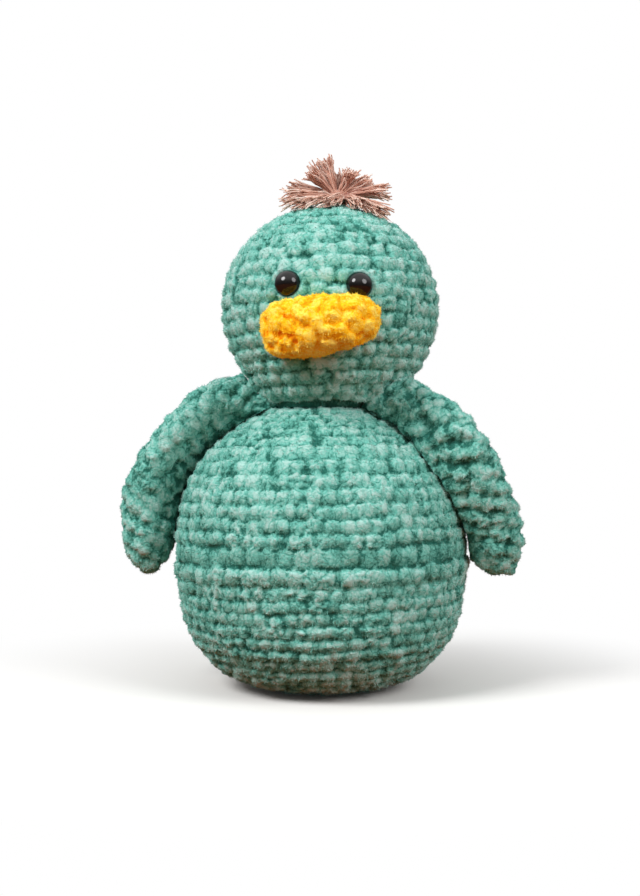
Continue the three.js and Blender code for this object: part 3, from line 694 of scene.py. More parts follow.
# %% Clumps of pile, with calm and rough patches
CLUMP_SIZE = 1.7 * MM
CLUMP_MIDDLE = 0.45
ROUGH_SIZE = 1.5 * CLUMP_SIZE
ROUGH_RELIEF = 1.4
PATCH_SIZE = 9 * MM
CALM_LOSS = 0.8
GROOVE_SHARE = 0.6
GROOVE_DEPTH = 0.55 * MM
clump = put("ShaderNodeTexVoronoi", {"Vector": position, "Scale": 1 / CLUMP_SIZE})
lump = put(MATH, [CLUMP_MIDDLE, clump], operation="SUBTRACT")
rough = put(NOISE, {"Vector": position, "Scale": 1 / ROUGH_SIZE, "Detail": 3.0})
rough = put(MATH, [rough, 0.5], operation="SUBTRACT")
relief = put(MATH, [rough, ROUGH_RELIEF, lump], operation="MULTIPLY_ADD")
patches = put(NOISE, {"Vector": position, "Scale": 1 / PATCH_SIZE, "Detail": 2.0})
crushed = put(MAP_RANGE, {"Value": patches, "From Min": 0.42, "From Max": 0.6, "To Min": 0.2, "To Max": 1.2},
              interpolation_type="SMOOTHSTEP")
calmed = put(MATH, [calm, -CALM_LOSS, 1.0], operation="MULTIPLY_ADD")
crushed = put(MATH, [crushed, calmed], operation="MULTIPLY")
height = put(MATH, [crushed, given["Clump_height"]], operation="MULTIPLY")
height = put(MATH, [height, relief], operation="MULTIPLY")
depth = put(MATH, [groove, GROOVE_SHARE, hole], operation="MULTIPLY_ADD")
depth = put(MATH, [depth, given["Groove"]], operation="MULTIPLY")
height = put(MATH, [depth, -GROOVE_DEPTH, height], operation="MULTIPLY_ADD")
push = put(VECTOR_MATH, {0: normal, "Scale": height}, operation="SCALE")
kept = {"groove": groove, "hole": hole, "lump": lump, "rough": rough, "crushed": crushed}
for title, value in kept.items():
    skin = put(STORE, {"Geometry": skin, "Name": title, "Value": value}, data_type="FLOAT", domain="POINT")
groove, hole, lump, rough, crushed = (put(NAMED, {"Name": title}, data_type="FLOAT") for title in kept)
skin = put(SET_POSITION, {"Geometry": skin, "Offset": push})

# %% Shade: painted highlight on crests and on the upper part of each stitch, painted shade in crevices, grooves and holes, and a painted sheen on the side to which each stitch's pile leans
BLUR_STEPS = 30
CREVICE_DEPTH = 0.9 * MM
OWN_BLUR_STEPS = 4
LEAN_SHADE, TONE_SHADE = 0.5, 0.2
ROUGH_FLECKS = 2.0
NAP_SIZE = 15 * MM
blurred = put(BLUR, {"Value": position, "Iterations": BLUR_STEPS}, data_type="FLOAT_VECTOR")
above = put(VECTOR_MATH, [position, blurred], operation="SUBTRACT")
above = put(VECTOR_MATH, [above, normal], operation="DOT_PRODUCT")
crevice = put(MAP_RANGE, {"Value": above, "From Min": -CREVICE_DEPTH, "From Max": CREVICE_DEPTH,
                          "To Min": -0.5, "To Max": 0.5}, interpolation_type="SMOOTHSTEP")
own = put(MATH, [put(MATH, [across, lean], operation="MULTIPLY"), LEAN_SHADE,
                 put(MATH, [tone, TONE_SHADE], operation="MULTIPLY")], operation="MULTIPLY_ADD")
own = put(BLUR, {"Value": own, "Iterations": OWN_BLUR_STEPS}, data_type="FLOAT")
nap = put(NOISE, {"Vector": position, "Scale": 1 / NAP_SIZE, "Detail": 2.0})
nap = put(MATH, [nap, 0.5], operation="SUBTRACT")
flecks = put(MATH, [rough, ROUGH_FLECKS, lump], operation="MULTIPLY_ADD")
flecks = put(MATH, [flecks, crushed], operation="MULTIPLY")
groove, hole = (put(MATH, [field, given["Groove"]], operation="MULTIPLY") for field in (groove, hole))
# Each field makes a point paler by its share, or deeper where the share is below nought: crevice, groove,
# hole and rise paint shade and highlight, and own paints sheen together with the stitch's tone
shade = given["Lightness"]
for field, share in ((crevice, 0.28), (groove, -0.15), (hole, -0.42), (rise, 0.2), (own, 1.0), (nap, 0.55),
                     (flecks, 0.4)):
    shade = put(MATH, [field, share, shade], operation="MULTIPLY_ADD")
skin = put(STORE, {"Geometry": skin, "Name": "shade", "Value": shade}, data_type="FLOAT", domain="POINT")
skin = put(SET_MATERIAL, {"Geometry": skin, "Material": given["Material"]})
put("NodeGroupOutput", {"Geometry": skin})
print("nodes that crush and shade the skin:", len(skin_tree.nodes))

# %% [markdown]
# ## Pile
# Chenille pile stands out of the yarn in short, fine ends that clump together. Real ends are finer than a
# pixel, so each spike here stands for a clump of them: a closed sliver about a millimetre long.
# Neighbours lean the same way, as pile does where a finger has brushed it, and the lean drifts over the
# form. The spikes also give the soft broken outline that a smooth surface can't.

# %% The tree that grows the pile
DRIFT_SIZE = 4 * MM
STRAY = 0.35
# The share of a spike that is rooted in the skin, and how short and how long one grows
SPIKE_ROOT = 0.35
SHORTEST, LONGEST = 0.55, 1.25
# Each spike has its own random shade, and its tip is painted paler: a painted highlight
OWN_SHADE, TIP_SHADE = 0.22, 0.14
pile_tree, put, given = start_tree("pile", Skin="Geometry", Density="Float", Length="Float", Width="Float",
                                   Lean="Float", Seed="Int", Material="Material")
ends = put("GeometryNodeDistributePointsOnFaces", {
    "Mesh": given["Skin"], "Density": given["Density"], "Seed": given["Seed"]}, distribute_method="RANDOM")
spike = put("GeometryNodeMeshCone", {"Vertices": 3, "Side Segments": 1, "Fill Segments": 1, "Radius Top": 0.0,
                                     "Radius Bottom": 1.0, "Depth": 1.0}, fill_type="NGON")
reach = put("ShaderNodeSeparateXYZ", [put(POSITION)]).outputs["Z"]
spike = put(STORE, {"Geometry": spike, "Name": "tip", "Value": reach}, data_type="FLOAT", domain="POINT")
spike = put("GeometryNodeTransform", {"Geometry": spike, "Translation": (0.0, 0.0, -SPIKE_ROOT)})
drift = put(NOISE, {"Vector": put(POSITION), "Scale": 1 / DRIFT_SIZE, "Detail": 2.0}).outputs["Color"]
drift = put(VECTOR_MATH, [drift, (0.5, 0.5, 0.5)], operation="SUBTRACT")
stray = put(RANDOM_VALUE, {0: (-STRAY,) * 3, 1: (STRAY,) * 3, "Seed": given["Seed"]},
            data_type="FLOAT_VECTOR")
lean = put(VECTOR_MATH, {0: drift, "Scale": given["Lean"]}, operation="SCALE")
aim = put(VECTOR_MATH, [lean, stray], operation="ADD")
aim = put(VECTOR_MATH, [aim, ends.outputs["Normal"]], operation="ADD")
stand = put("FunctionNodeAlignRotationToVector", {"Vector": aim}, axis="Z")
growth = put(RANDOM_VALUE, {2: SHORTEST, 3: LONGEST, "Seed": given["Seed"]}, data_type="FLOAT")
tall = put(MATH, [growth, given["Length"]], operation="MULTIPLY")
scale = put("ShaderNodeCombineXYZ", {"X": given["Width"], "Y": given["Width"], "Z": tall})
grown = put(INSTANCES, {"Points": ends, "Instance": spike, "Rotation": stand, "Scale": scale})
own = put(RANDOM_VALUE, {2: -0.5, 3: 0.5, "Seed": given["Seed"]}, data_type="FLOAT")
grown = put(STORE, {"Geometry": grown, "Name": "own", "Value": own}, data_type="FLOAT", domain="INSTANCE")
grown = put(REALIZE, {"Geometry": grown})
own, tip, shade = (put(NAMED, {"Name": title}, data_type="FLOAT") for title in ("own", "tip", "shade"))
shade = put(MATH, [own, OWN_SHADE, shade], operation="MULTIPLY_ADD")
shade = put(MATH, [tip, TIP_SHADE, shade], operation="MULTIPLY_ADD")
grown = put(STORE, {"Geometry": grown, "Name": "shade", "Value": shade}, data_type="FLOAT", domain="POINT")
grown = put(SET_MATERIAL, {"Geometry": grown, "Material": given["Material"]})
put("NodeGroupOutput", {"Geometry": grown})
print("nodes that grow the pile:", len(pile_tree.nodes))

# %% [markdown]
# ## Stuffed pieces
# A stuffed piece is made in three steps that are the same for all of them. The core is the form drawn in by
# the depth of the stitches. The stitches are laid over it and melted in. The pile is grown on the result.
# No cloth simulation is run: a tightly stuffed crochet bag keeps the shape that its rounds give it, and a
# simulated skin would lose the stitches to its remesh.


# %% The core of a stuffed piece
def form_normals(grid):
    around = np.roll(grid, -1, axis=1) - np.roll(grid, 1, axis=1)
    return unit(np.cross(around, np.gradient(grid, axis=0)))


def core_object(grid, depth):
    rings = grid - form_normals(grid) * depth
    last = (len(rings) - 1) * RING_POINTS
    points = [*rings.reshape(-1, 3), rings[0].mean(0), rings[-1].mean(0)]
    faces = []
    for here in range(0, last, RING_POINTS):
        above = here + RING_POINTS
        for k in range(RING_POINTS):
            beside = (k + 1) % RING_POINTS
            faces.append((here + k, here + beside, above + beside, above + k))
    for k in range(RING_POINTS):
        beside = (k + 1) % RING_POINTS
        faces.append((beside, k, len(points) - 2))
        faces.append((last + k, last + beside, len(points) - 1))
    return mesh_object("core", points, faces)


# %% Its skin and its pile, each with the length of its name as its fixed seed
STITCH_SINK = 2.7 * MM
CORE_SINK = 3.1 * MM
CLUMP_HEIGHT = 0.9 * MM
PLUMPNESS = 1.12
UNEVENNESS = 0.1
PILE_LENGTH = 1.15 * MM
PILE_WIDTH = 0.26 * MM
PILE_PER_MM2 = 0.95
PILE_LEAN = 3.0


def stitched_skin(name, core, guides, material, voxel, shares=(0.5, 0.5, 0.47), tumble=0.2, groove=1.0,
                  lightness=0.58):
    guides = guide_object(guides)
    put_tree(core, stitch_tree, Guides=guides, Plumpness=PLUMPNESS, Unevenness=UNEVENNESS, Tumble=tumble,
             Shares=shares, Seed=len(name))
    remesh = core.modifiers.new("melt", "REMESH")
    remesh.mode = "VOXEL"
    remesh.voxel_size = voxel
    remesh.use_smooth_shade = True
    put_tree(core, skin_tree, Guides=guides, Clump_height=CLUMP_HEIGHT, Groove=groove, Lightness=lightness,
             Material=material)
    skin = plain_result(name, core)
    bpy.data.objects.remove(guides)
    return skin


def grown_pile(name, skin, material, density=PILE_PER_MM2, length=PILE_LENGTH):
    source = skin.copy()
    source.data = skin.data.copy()
    bpy.context.scene.collection.objects.link(source)
    put_tree(source, pile_tree, Density=density / MM ** 2, Length=length, Width=PILE_WIDTH, Lean=PILE_LEAN,
             Seed=len(name), Material=material)
    return plain_result(name, source)


# %% What the table, the head and the body leave of a piece's room
def places_of(piece):
    places = np.empty(len(piece.data.vertices) * 3, np.float32)
    piece.data.vertices.foreach_get("co", places)
    return places.reshape(-1, 3)


def moved(piece, change):
    places = change(places_of(piece).astype(float))
    piece.data.vertices.foreach_set("co", places.astype(np.float32).ravel())
    piece.data.update()


def above_floor(places):
    places[:, 2] = np.maximum(places[:, 2], 0)
    return places


def off_head(gap):
    def change(places):
        offset = places - HEAD_MIDDLE
        height = np.where(offset[:, 2:] > 0, HEAD_RISE, HEAD_DROP)
        half = np.hstack([np.full((len(places), 2), HEAD_RADIUS), height]) + gap
        size = np.linalg.norm(offset / half, axis=1, keepdims=True)
        return HEAD_MIDDLE + offset / np.where(size < 1, np.maximum(size, 1e-6), 1)
    return change


def off_body_form(gap):
    def change(places):
        radius = np.hypot(places[:, 0], places[:, 1])
        form = np.interp(places[:, 2], body_side[:, 1], body_side[:, 0]) + gap
        inside = (radius < form) & (places[:, 2] < BODY_HEIGHT)
        grown = np.where(inside, form / np.maximum(radius, 1e-6), 1)
        places[:, :2] *= grown[:, None]
        return places
    return change


def finish_plush(pieces, body, replaced):
    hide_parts(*replaced)
    for piece in pieces:
        if body:
            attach(piece, body)
        print(piece.name, "faces:", len(piece.data.polygons))


# %% [markdown]
# ## The body
# The body is worked from the middle of its foot up to the neck. Its rounds are one stitch high, apart from
# one a little below the middle: there the yarn lies in a smooth band, with one sharp crease under it.

# %% The body
BODY_VOXEL = 0.85 * MM
BALL_LEAN = 0.42
BODY_SEED = 11
# Heights of the creases between the rounds at the front, from the foot's edge up to the neck
ROUNDS_BELOW_BAND = np.linspace(17.6, 45.9, 7) * MM
BAND_FOOT = 52.9 * MM
ROUNDS_ABOVE_BAND = np.linspace(60.7, 97.8, 8) * MM
# How far the rounds begin from the middle of the foot, and end from the middle of the neck
BODY_BEGINS, BODY_ENDS = 3 * MM, 8 * MM
body_run = run_along(body_profile)
front = np.interp([*ROUNDS_BELOW_BAND, BAND_FOOT, *ROUNDS_ABOVE_BAND], body_profile[:, 1], body_run)
under = np.linspace(BODY_BEGINS, front[0], 1 + round((front[0] - BODY_BEGINS) / STITCH_HEIGHT))
upper_end = body_run[-1] - BODY_ENDS
upper = np.linspace(front[-1], upper_end, 1 + round((upper_end - front[-1]) / STITCH_HEIGHT))
body_grooves = [*under[:-1], *front, *upper[1:]]
band = len(under) - 1 + len(ROUNDS_BELOW_BAND)
guides = spiral_guides(body_grid, body_grooves, STITCH_WIDTH, BALL_LEAN, BODY_SEED, STITCH_SINK, band)
body_plush = stitched_skin("body_plush", core_object(body_grid, CORE_SINK), guides, mint_yarn, BODY_VOXEL)
moved(body_plush, above_floor)
body_pile = grown_pile("body_pile", body_plush, mint_yarn)
moved(body_pile, above_floor)
finish_plush([body_plush, body_pile], "body", ["body_cover", "body_stuffing"])
print("stitches in the body:", len(guides))

# %% [markdown]
# ## The head
# The head is a second ball, worked the same way and sewn on by its open edge. The safety eyes are pushed
# through the cover before it is stuffed and locked with washers inside, so each pulls the pile into a
# small hollow, and the pile closes round its rim.

# %% Where the eyes sit
EYE_RADIUS = 5 * MM
EYE_DOME = 4.6 * MM
EYE_SINK = 1.2 * MM
EYE_SPACING = 27.2 * MM
EYE_RISES = {"left": (1, 4.0 * MM), "right": (-1, 4.9 * MM)}
FACE_TURN = math.radians(4)
# Round an eye the pile rises from its hollow: where it begins and over how far, in eye radii, and its curve
HOLLOW_FROM, HOLLOW_OVER, HOLLOW_CURVE = 0.86, 0.5, 1.5


def eye_frame(side, rise):
    level = HEAD_RADIUS * math.sqrt(1 - (rise / HEAD_RISE) ** 2)
    turn = math.asin(EYE_SPACING / 2 / level) * side - FACE_TURN
    point = np.array([math.sin(turn) * level, -math.cos(turn) * level, rise])
    outward = unit(point * (1, 1, (HEAD_RADIUS / HEAD_RISE) ** 2))
    return HEAD_MIDDLE + point - outward * EYE_SINK, outward


def round_eyes(rim, depth):
    def change(places):
        for side, rise in EYE_RISES.values():
            point, outward = eye_frame(side, rise)
            offset = places - point
            height = offset @ outward
            radial = np.linalg.norm(offset - height[:, None] * outward, axis=1)
            climb = np.clip((radial - EYE_RADIUS * HOLLOW_FROM) / (EYE_RADIUS * HOLLOW_OVER), 0, 1)
            limit = -depth + (rim + depth) * climb ** HOLLOW_CURVE
            near = (height > limit) & (height > -EYE_RADIUS)
            near &= radial < EYE_RADIUS * (HOLLOW_FROM + HOLLOW_OVER)
            places = np.where(near[:, None], places - outward * (height - limit)[:, None], places)
        return places
    return change


# %% The lowest rounds sag over the neck's seam
SAG = 1.6 * MM
# How far below the head's middle the sag begins, and over what height it grows
SAG_BELOW = -28 * MM
SAG_OVER = 6 * MM


def sagged(places):
    low = np.clip((SAG_BELOW - (places[:, 2] - HEAD_MIDDLE[2])) / SAG_OVER, 0, 1)
    places[:, 2] -= SAG * low
    return places


# %% The head
HEAD_STITCH_WIDTH = 6.2 * MM
HEAD_STITCH_HEIGHT = 5.8 * MM
HEAD_BEGINS, HEAD_ENDS = 9 * MM, 2.5 * MM
HEAD_SEED = 12
# How high the skin and the pile stand round an eye, and how deep the skin is drawn in under its rim
EYE_RIM, EYE_PILE_RIM, EYE_HOLLOW = 2.3 * MM, 2.9 * MM, 0.2 * MM
head_run = run_along(head_profile)[-1]
head_rounds = round((head_run - HEAD_BEGINS - HEAD_ENDS) / HEAD_STITCH_HEIGHT)
head_grooves = np.linspace(HEAD_BEGINS, head_run - HEAD_ENDS, 1 + head_rounds)
guides = spiral_guides(head_grid, head_grooves, HEAD_STITCH_WIDTH, BALL_LEAN, HEAD_SEED, STITCH_SINK)
# The head's mint yarn is set paler than the body's default: painted light, as the light falls from above
head_plush = stitched_skin("head_plush", core_object(head_grid, CORE_SINK), guides, mint_yarn, BODY_VOXEL,
                           lightness=0.64)
moved(head_plush, sagged)
moved(head_plush, round_eyes(EYE_RIM, EYE_HOLLOW))
head_pile = grown_pile("head_pile", head_plush, mint_yarn)
moved(head_pile, round_eyes(EYE_PILE_RIM, 0.0))
finish_plush([head_plush, head_pile], "head", ["head_cover", "head_stuffing"])
print("stitches in the head:", len(guides))

# %% [markdown]
# ## The beak
# The beak is a small flat bag of yellow yarn. Its stitches are smaller, because the bag is narrow and
# tightly stuffed, and it lies on the head with its edge pressed into the mint pile.

# %% The beak
BEAK_STITCH = 5.3 * MM
BEAK_SINK = 1.9 * MM
BEAK_VOXEL = 0.6 * MM
BEAK_PRESS = 2 * MM
BEAK_END_WIDTH = 1.6 * BEAK_STITCH
BAG_LEAN = 0.5
BEAK_SEED = 13
beak_run = ring_gaps(beak_grid).sum()
beak_grooves = np.linspace(0, beak_run, 1 + round(beak_run / BEAK_STITCH))
guides = spiral_guides(beak_grid, beak_grooves, BEAK_STITCH, BAG_LEAN, BEAK_SEED, BEAK_SINK, stagger=0.2)
guides += [end_stitch(beak_grid, row, beside, (BEAK_END_WIDTH, BEAK_STITCH, BEAK_STITCH), BEAK_SINK)
           for row, beside in ((0, 1), (-1, -2))]
beak_plush = stitched_skin("beak_plush", core_object(beak_grid, BEAK_SINK), guides, yellow_yarn, BEAK_VOXEL,
                           shares=(0.56, 0.6, 0.46), tumble=0.45, groove=0.5, lightness=0.63)
moved(beak_plush, off_head(-BEAK_PRESS))
beak_pile = grown_pile("beak_pile", beak_plush, yellow_yarn, density=1.3, length=1.1 * MM)
finish_plush([beak_plush, beak_pile], "head", ["beak_cover", "beak_stuffing"])
print("stitches in the beak:", len(guides))

# %% [markdown]
# ## The wings
# Each wing is a tube worked from its tip. Only its flat root is sewn down, so it hangs and can be lifted.
# A soft root is pressed fat between the head and the body, and the right wing swells towards the body at
# its back, so both forms are made fuller before they are stitched.

# %% Fuller forms
ROOT_FULLNESS = 4.5 * MM
ROOT_REACH = 9 * MM
ROOT_LIFT = 2.2 * MM
ROOT_LENGTH_SHARE = 0.17
# How far each wing swells towards this height on the body's axis, beyond its pattern
INNER_FULLNESS = {"wing_left": 0.0, "wing_right": 11 * MM}
INNER_AIM = 70 * MM
# The swell's share at a wing's middle, and how it grows over a wing's width towards the back
BACK_SHARE, BACK_GROWTH = 0.45, 1.5
# How sharply the fullness keeps to the upper side, and the swell to the inner side
UPPER_CURVE, INNER_CURVE = 1.5, 0.7
# The swell's share at the root, the length over which it grows, where it ends and over what it fades
SWELL_AT_ROOT, SWELL_GROWS, SWELL_ENDS, SWELL_FADES = 0.3, 0.1, 0.96, 0.4


def fuller_wing(grid, inner):
    out = form_normals(grid)
    share = np.linspace(0, 1, len(grid))[:, None]
    root = np.clip(1 - share / ROOT_LENGTH_SHARE, 0, 1)
    upwards = np.maximum(out[..., 2], 0) ** UPPER_CURVE
    middles = grid.mean(1, keepdims=True)
    to_body = unit(middles * (-1, -1, 0))
    to_middle = unit(upright * INNER_AIM - middles)
    inwards = np.maximum((out * to_middle).sum(-1), 0) ** INNER_CURVE
    backwards = (grid[..., 1] - middles[..., 1]) / WING_WIDTH
    inwards = inwards * np.clip(BACK_SHARE + BACK_GROWTH * backwards, 0, 1)
    fading = np.sin(np.pi / 2 * np.clip((SWELL_ENDS - share) / SWELL_FADES, 0, 1))
    along = np.clip(SWELL_AT_ROOT + share / SWELL_GROWS, 0, 1) * fading
    grid = grid + (ROOT_FULLNESS * root * upwards + ROOT_LIFT * root)[..., None] * upright
    grid = grid + (ROOT_REACH * root ** 3)[..., None] * to_body
    return grid + (inner * along * inwards)[..., None] * to_middle


# %% Painted shade: wing pile near the body is made deeper, as if in the shadow of the crease between them
CREASE_SHADE = 0.34
CREASE_REACH = 6 * MM


def painted_crease_shade(piece):
    x, y, z = places_of(piece).T
    gap = np.hypot(x, y) - np.interp(z, body_side[:, 1], body_side[:, 0])
    shade = piece.data.attributes["shade"].data
    values = np.empty(len(x), np.float32)
    shade.foreach_get("value", values)
    crease_shading = np.clip(1 - gap / CREASE_REACH, 0, 1).astype(np.float32)
    # Painted shade: the nearer the body, the deeper the wing's shade
    shade.foreach_set("value", values - CREASE_SHADE * crease_shading)


# %% The wings
WING_VOXEL = 0.8 * MM
WING_SINK = 2.3 * MM
WING_SEED = 14
# How far the skin and the pile are kept off the head and off the body
SKIN_GAPS = (0.3 * MM, 0.8 * MM)
PILE_GAPS = (0.4 * MM, 0.9 * MM)
for name, grid in wing_grids.items():
    grid = fuller_wing(grid, INNER_FULLNESS[name])
    side, shoulder_turn = WINGS[name][:2]
    length = ring_gaps(grid).sum()
    grooves = np.linspace(0, length, 1 + round(length / STITCH_HEIGHT))
    guides = spiral_guides(grid, grooves, STITCH_WIDTH, BAG_LEAN, WING_SEED + side, WING_SINK, stagger=0.25)
    guides.append(end_stitch(grid, -1, -2, (STITCH_WIDTH, STITCH_WIDTH, STITCH_HEIGHT), WING_SINK))
    # The wings' mint yarn is set deeper than the body's: painted shade, as less of the light from above
    # reaches them
    plush = stitched_skin(name + "_plush", core_object(grid, WING_SINK), guides, mint_yarn, WING_VOXEL,
                          shares=(0.54, 0.64, 0.48), tumble=0.45, lightness=0.54)
    pile = grown_pile(name + "_pile", plush, mint_yarn)
    pivot, outward = shoulder(side, shoulder_turn)
    for piece, (head_gap, body_gap) in ((plush, SKIN_GAPS), (pile, PILE_GAPS)):
        moved(piece, off_head(head_gap))
        moved(piece, off_body_form(body_gap))
        painted_crease_shade(piece)
        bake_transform(piece)
    finish_plush([plush, pile], None, [name + "_cover", name + "_stuffing"])
    print("stitches in", name + ":", len(guides))

# %% [markdown]
# ## Sewing
# The pieces are sewn together with the same yarn, in overcast stitches: slanting puffs, one beside the
# other, over the edge. They are hidden for the most part, but they close the neck and the shoulders.

# %% A row of overcast stitches along a line
OVERCAST_SLANT = 0.5


def overcast(name, line, outs, size, material, voxel, body, node, lightness=0.5):
    alongs = unit(np.gradient(line, axis=0))
    guides = [(place, out, unit(along + OVERCAST_SLANT * np.cross(out, along)), size, 0.0, 0.0, 0.0)
              for place, out, along in zip(line, outs, alongs)]
    sewing = stitched_skin(name, mesh_object("core", [], []), guides, material, voxel, lightness=lightness)
    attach(sewing, body)
    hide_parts(node)
    print(name, "stitches and faces:", len(guides), len(sewing.data.polygons))


# %% The neck: its stitches lie close and plump, so that no light comes through
NECK_STITCHES = 40
NECK_STITCH = 5.5 * MM
NECK_PLUMPNESS = 1.25
low, high = (np.array(corner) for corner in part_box("neck_seam"))
neck_yarn = high[2] - low[2]
ring = np.linspace(0, 2 * np.pi, NECK_STITCHES, endpoint=False)
ways = np.stack([np.cos(ring), np.sin(ring), 0 * ring], 1)
neck_line = (low + high) / 2 + ways * ((high[0] - low[0] - neck_yarn) / 2)
# Lightness 0.0 paints the neck's stitches nearly black: painted shade of the crease under the head
overcast("neck_sewing", neck_line, ways, (NECK_STITCH, neck_yarn * NECK_PLUMPNESS, neck_yarn), mint_yarn,
         WING_VOXEL, "body", "neck_seam", lightness=0.0)

# %% The two shoulders
SHOULDER_STITCHES = 4
SHOULDER_STITCH = 3.4 * MM
SHOULDER_HALF = 4.4 * MM
for name, (side, shoulder_turn, *_) in WINGS.items():
    low, high = (np.array(corner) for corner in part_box(name + "_seam"))
    _, outward = shoulder(side, shoulder_turn)
    reach = np.linspace(-1, 1, SHOULDER_STITCHES)[:, None] * SHOULDER_HALF
    seam_line = (low + high) / 2 + reach * np.cross(outward, upright)
    size = (SHOULDER_STITCH, SEAM_YARN, SEAM_YARN)
    overcast(name + "_sewing", seam_line, [outward] * SHOULDER_STITCHES, size, mint_yarn, WING_VOXEL,
             "body", name + "_seam")

# %% The edge of the beak: a line inside its rim, settled on the head, whose lower half it lies against
BEAK_EDGE_STITCHES = 36
BEAK_EDGE_STITCH = 3.6 * MM
BEAK_EDGE_VOXEL = 0.5 * MM
BEAK_YARN = 1.8 * MM
BEAK_LAP = 1.2 * MM
SETTLING_STEPS = 40
SETTLING_PACE = 0.5
ring = np.linspace(0, 2 * np.pi, BEAK_EDGE_STITCHES, endpoint=False)
edge_line = on_beak(np.stack([np.cos(ring), np.sin(ring)], 1), BEAK_HALF[:2] - BEAK_LAP - BEAK_YARN / 2)
edge_line = off_head(BEAK_YARN / 2)(edge_line)
lower_head = np.array([HEAD_RADIUS, HEAD_RADIUS, HEAD_DROP]) + BEAK_YARN / 2
for _ in range(SETTLING_STEPS):
    left = 1 - np.linalg.norm((edge_line - HEAD_MIDDLE) / lower_head, axis=1)
    edge_line = edge_line + left[:, None] * beak_out * HEAD_RADIUS * SETTLING_PACE
overcast("beak_sewing", edge_line, unit(edge_line - HEAD_MIDDLE), (BEAK_EDGE_STITCH, BEAK_YARN, BEAK_YARN),
         yellow_yarn, BEAK_EDGE_VOXEL, "head", "beak_seam")

# %% [markdown]
# ## Eyes
# Safety eyes are turned domes of black plastic with a polished skin. A dome is the profile of a shallow
# half round, spun about its own shank. It is spun finely here, because a polished surface shows every facet.

# %% Polished and moulded plastic: the first mirrors the lamps, and the second has a dull skin
PLASTIC_IOR = 1.45
PEEL_RELIEF = 0.05 * MM


def toy_plastic(name, dark, light, roughness, grain_size, grain):
    made, put = empty_material(name)
    place = put("ShaderNodeTexCoord").outputs["Object"]
    # Moulded plastic is never quite even: a faint orange peel bends its reflections
    peel = put(NOISE, {"Vector": place, "Scale": 1 / grain_size, "Detail": 2.0})
    bump = put("ShaderNodeBump", {"Height": peel, "Strength": grain, "Distance": PEEL_RELIEF})
    tint = put("ShaderNodeValToRGB", {"Fac": peel})
    set_dyes(tint, (0.0, dark), (1.0, light))
    shader = put("ShaderNodeBsdfPrincipled", {"Base Color": tint, "Normal": bump, "Roughness": roughness,
                                              "IOR": PLASTIC_IOR})
    put("ShaderNodeOutputMaterial", {"Surface": shader})
    return made


gloss_black = toy_plastic("polished_black_plastic", "#0B0A0A", "#151313", roughness=0.1, grain_size=3 * MM,
                          grain=0.06)
plain_plastic = toy_plastic("moulded_polypropylene", "#E2DFD6", "#ECEAE2", roughness=0.45, grain_size=1 * MM,
                            grain=0.4)
print("materials:", gloss_black.name, plain_plastic.name)


# %% A profile spun about the way in which an eye looks
def spun(name, profile, point, outward, sides):
    turn = Vector((0, 0, 1)).rotation_difference(Vector(outward)).to_matrix()
    spin = np.linspace(0, 2 * np.pi, sides, endpoint=False)
    inner = profile[1:-1]
    places = [(0, 0, profile[0][1])]
    for radius, height in inner:
        places += [(radius * math.cos(a), radius * math.sin(a), height) for a in spin]
    places.append((0, 0, profile[-1][1]))
    places = np.array(places) @ np.array(turn).T + point
    faces = [(0, 1 + (k + 1) % sides, 1 + k) for k in range(sides)]
    for row in range(len(inner) - 1):
        here, above = 1 + row * sides, 1 + (row + 1) * sides
        faces += [(here + k, here + (k + 1) % sides, above + (k + 1) % sides, above + k)
                  for k in range(sides)]
    last = 1 + (len(inner) - 1) * sides
    faces += [(last + k, last + (k + 1) % sides, len(places) - 1) for k in range(sides)]
    made = mesh_object(name, places, faces)
    made.data.shade_smooth()
    return made


# %% The eyes and their washers
EYE_SIDES = 64
DOME_ROWS = 20
SHANK_RADIUS, SHANK_LENGTH = 1.7 * MM, 10 * MM
RIM_THICKNESS, RIM_BEVEL = 0.6 * MM, 0.4 * MM
dome_angles = np.linspace(0, np.pi / 2, DOME_ROWS)
dome = [(EYE_RADIUS * math.cos(a), EYE_DOME * math.sin(a)) for a in dome_angles[:-1]]
eye_profile = [(0, -SHANK_LENGTH), (SHANK_RADIUS, -SHANK_LENGTH), (SHANK_RADIUS, -RIM_THICKNESS),
               (EYE_RADIUS - RIM_BEVEL, -RIM_THICKNESS), (EYE_RADIUS, RIM_BEVEL - RIM_THICKNESS),
               *dome, (0, EYE_DOME)]
for name, (side, rise) in EYE_RISES.items():
    point, outward = eye_frame(side, rise)
    eye = spun("eye_" + name + "_dome", eye_profile, point, outward, EYE_SIDES)
    eye.data.materials.append(gloss_black)
    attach(eye, "head")
    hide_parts("eye_" + name)
    washer = frame["nodes"]["eye_washer_" + name]
    washer.data.materials.clear()
    washer.data.materials.append(plain_plastic)
    print(eye.name, "faces:", len(eye.data.polygons))

# %% [markdown]
# ## The tuft
# A bundle of cut thread is knotted on the crown, and its ends are left to fray. Each lock is a brush: it
# leaves the knot tight, arches over, and fans out at its cut end. The threads are drawn as lines first, each
# with its own length and crimp, and a tree turns the lines into fine tubes.

# %% Brown thread: spun cotton, dull, whose plies catch the light in flecks drawn as coarse as shows
PLY_SIZE = 0.6 * MM
brown_thread, put = empty_material("spun_brown_thread")
shade = put("ShaderNodeAttribute", attribute_name="shade").outputs["Fac"]
dye = put("ShaderNodeValToRGB", {"Fac": shade})
set_dyes(dye, (0.0, "#8A4E3E"), (1.0, "#F6E2D6"), (0.5, "#CB9A84"))
place = put("ShaderNodeTexCoord").outputs["Object"]
plies = put(NOISE, {"Vector": place, "Scale": 1 / PLY_SIZE, "Detail": 1.0})
bump = put("ShaderNodeBump", {"Height": plies, "Strength": 0.4, "Distance": 0.1 * MM})
shader = put("ShaderNodeBsdfPrincipled", {"Base Color": dye, "Normal": bump, "Roughness": 0.6,
                                          "Sheen Weight": 0.25})
put("ShaderNodeOutputMaterial", {"Surface": shader})

